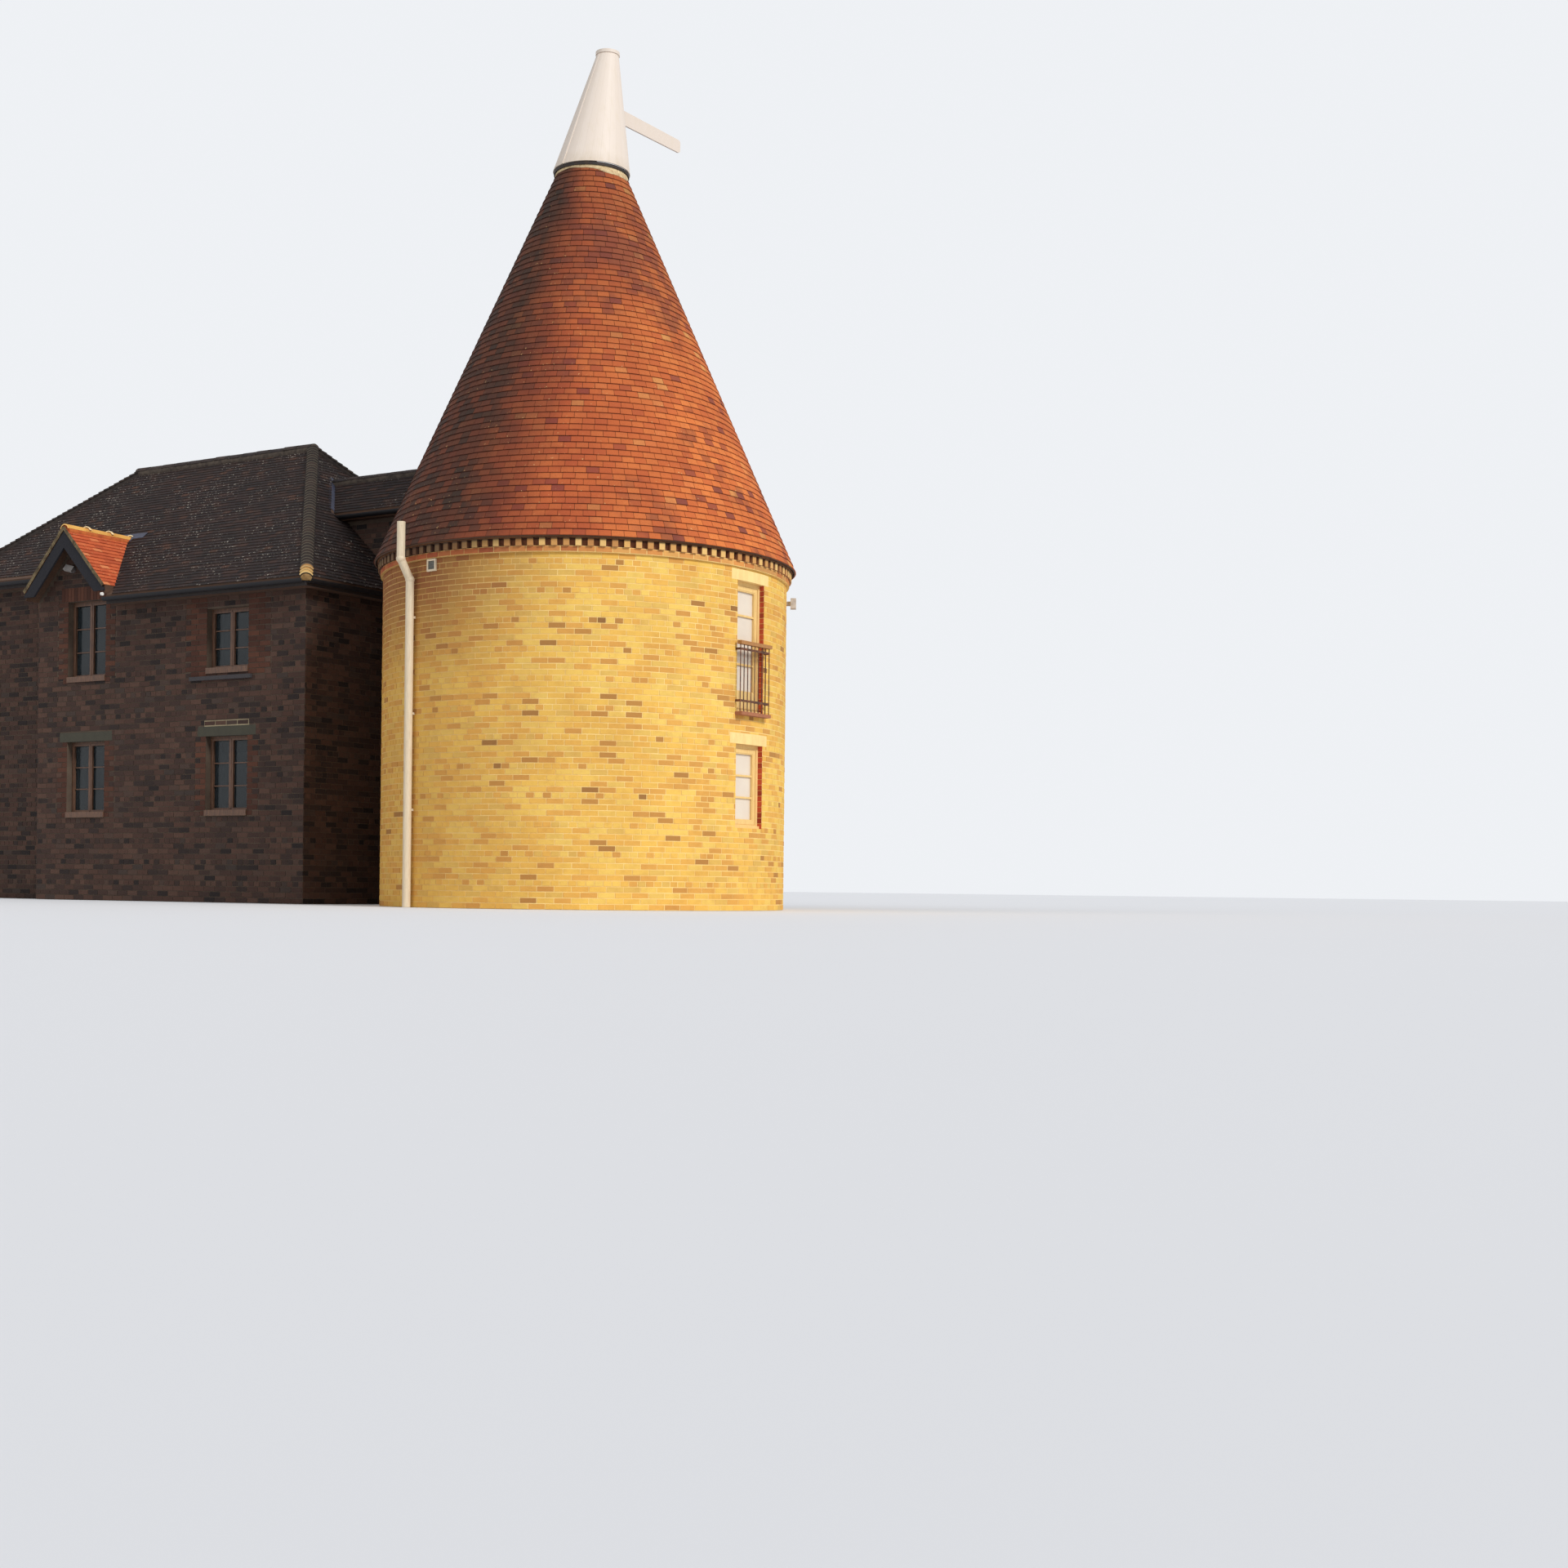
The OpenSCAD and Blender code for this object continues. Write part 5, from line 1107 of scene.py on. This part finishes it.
for pile, finish, slot, smooth in (
    (bonnets, bonnet_tile, "barn_tiles", True),
    (mouths, bedding("bonnet_mortar", (58, 52, 46), (42, 38, 35)), "barn_tiles", False),
    (golden_bonnets, bright_bonnet, "barn_tiles", True),
    (foot_mortar, bedding("bonnet_foot_mortar", (186, 150, 98), (126, 96, 62)), "barn_tiles", False),
    (ridges, ridge_tile, "barn_tiles", True), (golden, golden_tile, "gable_tiles", True),
    (collars, collar_tile, "gable_tiles", True),
    (verges, bedding("verge_mortar", (128, 112, 82), (80, 68, 52)), "gable_tiles", False),
):
    pile.build(finish, slot, smooth)
give(bedding("ridge_mortar", (92, 82, 72), (64, 56, 51)), "barn_ridge_tiles", "link_ridge_tiles")
give(bedding("hip_bedding", (56, 49, 45), (42, 37, 35)), "barn_hip_tiles")
give(bedding("gable_ridge_mortar", (204, 112, 60), (176, 90, 52)), "gable_ridge_tiles")

# %% [markdown]
# ## Mortar and lead at the joins
# Where the tiles stop under the cowl, a collar of mortar closes the gap, thicker on the window side.
# Behind the gable's ridge lies a small sheet of lead that carries the water round it.

# %% Mortar collar and lead saddle
COLLAR_STEPS = 64


def collar_depth(angle):
    """How far down the slope the mortar reaches; its edge is wavy."""
    return 0.035 + 0.085 * max(0, math.cos(angle - math.radians(-8))) ** 3 + 0.008 * math.sin(9 * angle)


collar = Pile("cone_top_collar", 31)
for i in range(COLLAR_STEPS):
    a0, a1 = (2 * math.pi * k / COLLAR_STEPS for k in (i, i + 1))
    d0, d1 = SLOPE - collar_depth(a0), SLOPE - collar_depth(a1)
    rim = (
        (a0, d0, 0.0155), (a1, d1, 0.0155), (a1, SLOPE, 0.024), (a0, SLOPE, 0.024),
        (a0, d0, 0.004), (a1, d1, 0.004),
    )
    collar.block([cone_place(*corner) for corner in rim], ((0, 1, 2, 3), (4, 5, 1, 0)))
collar_mortar = bedding("collar_mortar", (240, 216, 168), (184, 148, 108), 20, 0.75, 120, 0.004, 0.92, 0.5)
collar.build(collar_mortar, "kiln_tiles", smooth=True)

lead = Finish("weathered_lead", 0.55, 0.35)
lead.wear(lead.mix(lead.noise(7, 4).between(0.3, 0.7), (64, 67, 88), (46, 48, 64)), lead.noise(30))
give(lead, "link_flashing")
saddle = Pile("gable_ridge_saddle", 32)
v_top = slope_length(GABLE_RIDGE_Z - EDGE_Z, RISE)
saddle.slab(front_slope, RIDGE_X - 0.22, RIDGE_X + 0.36, v_top - 0.02, v_top + 0.13, 0.0145, 0.0185)
saddle.slab(front_slope, RIDGE_X - 0.13, RIDGE_X + 0.13, v_top - 0.10, v_top + 0.02, 0.0150, 0.0190)
saddle.build(lead, "lead")

# %% [markdown]
# ## Joinery
# The kiln's windows are painted a warm cream, the barn's are brown oak. A frame looks right when it
# steps: the fixed frame stands a little in front of the sash, the sash in front of the bars, and the
# bars in front of the glass. The solids have the frames and the panes. Thin facings and the bars
# are laid on them here.

# %% Facings and glazing bars
def painted(name, tone, dirt, roughness=0.5):
    made = Finish(name, roughness)
    streak, spots = made.noise(6, 4, (14, 14, 1.2)), made.noise(40)
    colour = made.mix(streak.between(0.4, 0.75) * 0.4, tone, dirt)
    colour = made.mix(spots.between(0.62, 0.75) * 0.35, colour, dirt)
    return made.wear(colour, streak + spots * 0.3, 0.0015, roughness + spots * 0.2)


kiln_paint = painted("kiln_window_paint", (240, 204, 132), (198, 148, 84))
oak = Finish("brown_oak", 0.55)
grain, pores = oak.noise(9, 5, (9, 9, 1)), oak.noise(70, 3, (1, 1, 0.1))
tone = oak.mix(grain.between(0.35, 0.7), (114, 81, 59), (76, 53, 41))
oak.wear(oak.mix(pores.between(0.5, 0.7) * 0.4, tone, (48, 33, 26)), grain + pores * 0.4, 0.0015)


def facing(pile, place, half, z0, z1, width, out, bottom=None, middle=0):
    """Four flat strips just inside an outline."""
    u0, u1, behind = middle - half, middle + half, -0.002
    for strip in (
        (u0, u0 + width, z0, z1), (u1 - width, u1, z0, z1), (u0 + width, u1 - width, z1 - width, z1),
        (u0 + width, u1 - width, z0, z0 + (bottom or width)),
    ):
        pile.slab(place, *strip, behind, out)


WINDOW_FRONT_R = 2.750
kiln_window = flat_wall(WINDOW_FRONT_R, WINDOWS_FACE)
kiln_bars = Pile("kiln_window_facings", 33)
for (z0, z1), glass_foot, bars in zip(KILN_WINDOWS, (2.965, 1.235), ((3.32, 3.64, 3.98), (1.528, 1.822))):
    facing(kiln_bars, kiln_window, 0.3195, z0 + 0.001, z1 - 0.001, 0.052, 0.012)
    facing(kiln_bars, kiln_window, 0.262, z0 + 0.058, z1 - 0.058, 0.052, 0.005, glass_foot - z0 - 0.075)
    for z in bars:
        kiln_bars.slab(kiln_window, -0.195, 0.195, z - 0.013, z + 0.013, -0.034, -0.006)
    kiln_bars.slab(kiln_window, -0.319, 0.319, z0 + 0.001, z0 + 0.040, 0.0, 0.045)
kiln_bars.build(kiln_paint, "painted_joinery")

BAR, MULLION, RAIL, RECESS = 0.060, 0.075, 0.110, 0.100
barn_bars = Pile("barn_window_facings", 34)
windows = [opening for opening in OPENINGS if opening[2] == HALF]
for side, x, half, z0, z1, *_ in windows:
    place = flat_wall((-FRONT_Y if side == 1 else BACK_Y) - RECESS, -90 * side)
    pane = (half - BAR - MULLION / 2) / 2
    for hand in (-1, 1):
        middle = side * x + hand * (MULLION / 2 + pane)
        facing(barn_bars, place, pane + 0.030, z0 + 0.082, z1 - 0.032, 0.034, 0.007, 0.040, middle)
        for k in (1, 2):
            z = z0 + RAIL + (z1 - z0 - RAIL - BAR) * k / 3
            barn_bars.slab(place, middle - pane, middle + pane, z - 0.008, z + 0.008, -0.034, -0.012)
    barn_bars.slab(place, side * x - 0.012, side * x + 0.012, z0 + RAIL, z1 - BAR, 0.004, 0.012)
barn_bars.build(oak, "brown_oak")

BOARDS, BOARD = 8, 0.097
door_boards = Pile("rear_door_boards", 35)
door = flat_wall(BACK_Y - 0.120, 90)
for i in range(BOARDS):
    u = -GABLE_X - BOARDS / 2 * BOARD + i * BOARD
    door_boards.slab(door, u + 0.002, u + 0.095, 0.155, 2.138, -0.001, 0.009 + 0.001 * (i % 2))
for z in (0.42, 1.15, 1.92):
    door_boards.slab(door, -GABLE_X - 0.385, -GABLE_X + 0.10, z - 0.016, z + 0.016, 0.009, 0.014)
door_boards.build(oak, "brown_oak")
give(kiln_paint, "kiln_upper_window", "kiln_lower_window")
give(oak, "barn_upper_windows", "barn_lower_windows", "rear_door")
print("bars on", len(windows), "barn windows")

# %% [markdown]
# ## Glass
# A pane is clear enough to show the room behind and still carries the sky. A shader that is half
# see-through does both, and it lets the daylight through into the rooms, where true glass would
# block the lamps. The kiln's panes are painted paler: partly a painted reflection of the bright sky,
# partly the pale blinds close behind them.

# %% Panes
for name, tone, lighter, cover in (
    # The kiln's pale tone is partly a painted reflection of the sky.
    ("kiln", (240, 222, 202), (255, 244, 224), 0.74), ("barn", (30, 38, 41), (52, 60, 63), 0.6),
):
    pane = Finish(f"{name}_pane", 0.06, Alpha=cover, IOR=1.5)
    ripple = pane.noise(3, 2)
    give(pane.wear(pane.mix(ripple, tone, lighter), ripple, 0.004), f"{name}_glass")
    print(name, "panes cover", cover)

# %% [markdown]
# ## Stone, slate and floors
# Lintels are cast stone, poured into a mould, so they have no grain, only stains that run down from
# the top. The sill under the barn's window is slate. Ground floors are concrete and upper floors
# are boards. Little of them is seen through the panes, but each has a finish that fits it.

# %% Stone, slate and floors
def stone(name, tone, stain):
    made = Finish(name, 0.88)
    grit = made.noise(130)
    colour = made.mix(made.noise(5, 4, (2.5, 2.5, 0.8)).between(0.4, 0.75) * 0.4, tone, stain)
    return made.wear(made.mix(grit.between(0.55, 0.7) * 0.35, colour, stain), grit)


give(stone("kiln_lintel_stone", (250, 218, 146), (214, 172, 104)), "kiln_lintels")
give(stone("barn_lintel_stone", (66, 63, 50), (46, 43, 36)), "barn_lintels")
give(stone("sill_clay", (176, 112, 76), (112, 72, 54)), "balcony_sill")
give(stone("sill_slate", (62, 57, 58), (44, 42, 45)), "barn_slate_sill")
give(stone("floor_concrete", (158, 154, 146), (120, 116, 108)), "kiln_ground_floor", "barn_ground_floor")

PLANK, GAP = 0.14, 0.03
boards = Finish("floor_boards", 0.6)
strip = boards.part("Y") / PLANK
gap = boards.maths("FRACT", strip)
wood = boards.mix(boards.draw(boards.maths("FLOOR", strip)), (164, 122, 82), (132, 94, 62))
wood = boards.mix(boards.noise(8, 4, (1, 12, 12)).between(0.4, 0.7) * 0.4, wood, (96, 66, 44))
boards.wear(boards.mix((gap < GAP) * 0.8, wood, (40, 28, 20)), gap > GAP)
give(boards, "kiln_upper_floor", "barn_upper_floor")
give(timber, "barn_roof", "link_roof", "gable_roof")
print("finishes so far:", len(bpy.data.materials))

# %% [markdown]
# ## Iron, paint and lamps
# The balcony's bars were painted black and have begun to rust, which shows as brown in the sun. Rust
# is a second colour mixed in by noise, rougher than the paint. The handrail is oiled timber.

# %% Iron and painted boards
def iron(name, tone, rust, share, roughness=0.5):
    made = Finish(name, roughness, 0.3)
    cloud = made.noise(18, 4)
    colour = made.mix(cloud.between(0.4, 0.7) * share, tone, rust)
    return made.wear(colour, made.noise(120), 0.0012, roughness + cloud * 0.3)


give(iron("railing_iron", (78, 52, 40), (138, 84, 50), 0.9), "balcony_railing")
give(iron("gutter_iron", (26, 26, 30), (48, 42, 40), 0.5), "barn_gutters", "link_gutters")
give(iron("bearing_iron", (70, 68, 66), (110, 76, 54), 0.5), "cowl_bearing_bar", "cowl_arms", "cowl_post")
give(iron("curb_iron", (38, 32, 30), (78, 58, 46), 0.5), "kiln_curb_ring")
give(iron("lamp_metal", (206, 196, 184), (140, 130, 120), 0.4), "floodlight")
# Painted shade: the gable's lamp is a darker copy of the floodlight's metal, for the shade under the gable.
give(iron("gable_lamp_metal_shaded", (112, 106, 104), (78, 72, 70), 0.4), "gable_lamp")
give(painted("handrail_timber", (176, 122, 66), (112, 74, 44)), "balcony_handrail", "cowl_foot_beam")
give(painted("bargeboard_paint", (17, 16, 24), (12, 11, 16), 0.8), "gable_bargeboards")
give(painted("eaves_board_stain", (48, 40, 37), (34, 29, 27), 0.7), "barn_eaves_boards")
give(painted("cream_pipe", (222, 204, 174), (176, 152, 120), 0.4), "vent_pipe", "wall_vent")
print("solids with a finish:", sum(bool(o.data.materials) for o in solids.values()), "of", len(solids))

# %% [markdown]
# Three small pieces are too fine for the solids: the white plug that closes the gutter beside the
# gable, the lamp's head under the gable's peak, tilted down towards the path, and the slats of the
# wall vent. Each is a few blocks on a place function of its own.

# %% Gutter end, lamp head and vent slats
PLUG, PLUG_R, PLUG_ENDS = 14, 0.026, (-0.016, 0.014)
PLUG_X, PLUG_Y, PLUG_Z = RIDGE_X + GABLE_HALF, -1.966, 4.742
turns = [2 * math.pi * k / PLUG for k in range(PLUG)]
gutter_end = Pile("gutter_stop_end", 37)
gutter_end.block(
    [(PLUG_X + end, PLUG_Y + math.cos(a) * PLUG_R, PLUG_Z + math.sin(a) * PLUG_R)
     for end in PLUG_ENDS for a in turns],
    [tuple(range(PLUG)), tuple(range(2 * PLUG - 1, PLUG - 1, -1))]
    + [(k, PLUG + k, PLUG + (k + 1) % PLUG, (k + 1) % PLUG) for k in range(PLUG)],
)
gutter_end.build(painted("stop_end_white", (240, 236, 228), (206, 198, 184)), "cream_plastic")

LAMP_AT, LAMP_TURNS = (-8.835, -1.795, 5.232), ((24, "Z"), (-30, "X"), (16, "Y"))
tilt = Matrix.Translation(LAMP_AT)
for angle, axis in LAMP_TURNS:
    tilt = tilt @ Matrix.Rotation(math.radians(angle), 4, axis)


def lamp_place(u, z, h):
    return tuple(tilt @ Vector((u, -h, z)))


lamp_head = Pile("gable_lamp_head", 38)
for half, high, *depths in ((0.070, 0.046, -0.030, 0.012), (0.076, 0.052, 0.012, 0.018)):
    lamp_head.slab(lamp_place, -half, half, -high, high, *depths)
# Painted shade: the lamp's head is grey for the shade under the gable.
lamp_head.build(iron("lamp_face_shaded_grey", (142, 136, 132), (98, 94, 92), 0.4), "lamp_metal")

SLATS, SLAT_STEP, SLAT_Z, SLAT_HALF, VENT_FACES = 7, 0.0175, 4.454, 0.064, -98.5
# Height and depth of a slat's four edges: the face's foot and head, then the back's.
SLAT_EDGES = ((-0.004, 0.021), (0.011, 0.014), (-0.006, 0.019), (0.009, 0.012))
vent_place = flat_wall(KILN_R, VENT_FACES)
slats = Pile("wall_vent_louvres", 36)
for i in range(SLATS):
    z = SLAT_Z + i * SLAT_STEP
    ends = ((-SLAT_HALF, SLAT_HALF), (SLAT_HALF, -SLAT_HALF)) * 2
    slats.block(
        [vent_place(u, z + rise, h) for (rise, h), hands in zip(SLAT_EDGES, ends) for u in hands], ALL_ROUND
    )
slats.build(iron("vent_shadow_grey", (104, 104, 98), (78, 78, 74), 0.5), "cream_plastic")

# %% [markdown]
# ## The white cowl
# The cowl is a leaning cone of upright boards under many coats of white paint. The joints are almost
# filled, so they show only as faint lines. The finish measures the turn round the leaning axis,
# which moves sideways as the height grows, and draws a line at every board. Grime gathers near the
# foot.

# %% Cowl paint
COWL_Z, COWL_HIGH, COWL_LEAN, LEANS_TO, COWL_BOARDS, COWL_GAP = CONE_TOP_Z + 0.048, 1.8, 0.33, 87, 26, 0.035
cowl_paint = Finish("cowl_white_paint", 0.5)
share = (cowl_paint.part("Z") - COWL_Z) / COWL_HIGH
x = cowl_paint.part("X") - share * (COWL_LEAN * math.cos(math.radians(LEANS_TO)))
y = cowl_paint.part("Y") - share * (COWL_LEAN * math.sin(math.radians(LEANS_TO)))
turn = cowl_paint.turn(x, y, COWL_BOARDS) + COWL_BOARDS
board, tint = cowl_paint.maths("FRACT", turn), cowl_paint.draw(cowl_paint.maths("FLOOR", turn))
joint = (board < COWL_GAP) + (board > 1 - COWL_GAP)
grime = cowl_paint.noise(5, 5, (3, 3, 0.7))
white = cowl_paint.mix(tint, (226, 212, 198), (222, 207, 192))
white = cowl_paint.mix(grime.between(0.5, 0.8) * 0.3, white, (214, 198, 172))
white = cowl_paint.mix((1 - share.between(0.0, 0.10)) * grime * 0.6, white, (186, 166, 136))
white = cowl_paint.mix(joint * 0.08, white, (170, 158, 140))
cowl_paint.wear(white, 1 - joint * 0.4 + grime * 0.2, 0.001, 0.45 + grime * 0.2)
give(cowl_paint, "cowl_shell", "cowl_cap", "cowl_vane")
print("boards round the cowl:", COWL_BOARDS)

# %% [markdown]
# ## The last look
# Every solid has a finish and every piece rides on the house. The two boxes below have to agree,
# because a visual model that grew past its solids would no longer fit its place.

# %% Sizes and the end
low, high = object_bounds()
print("grown past the solids by", [round(max(0, a - b), 4) for a, b in zip(high, cad_high)])
{"cad": [list(cad_low), list(cad_high)], "visual": [list(low), list(high)]}
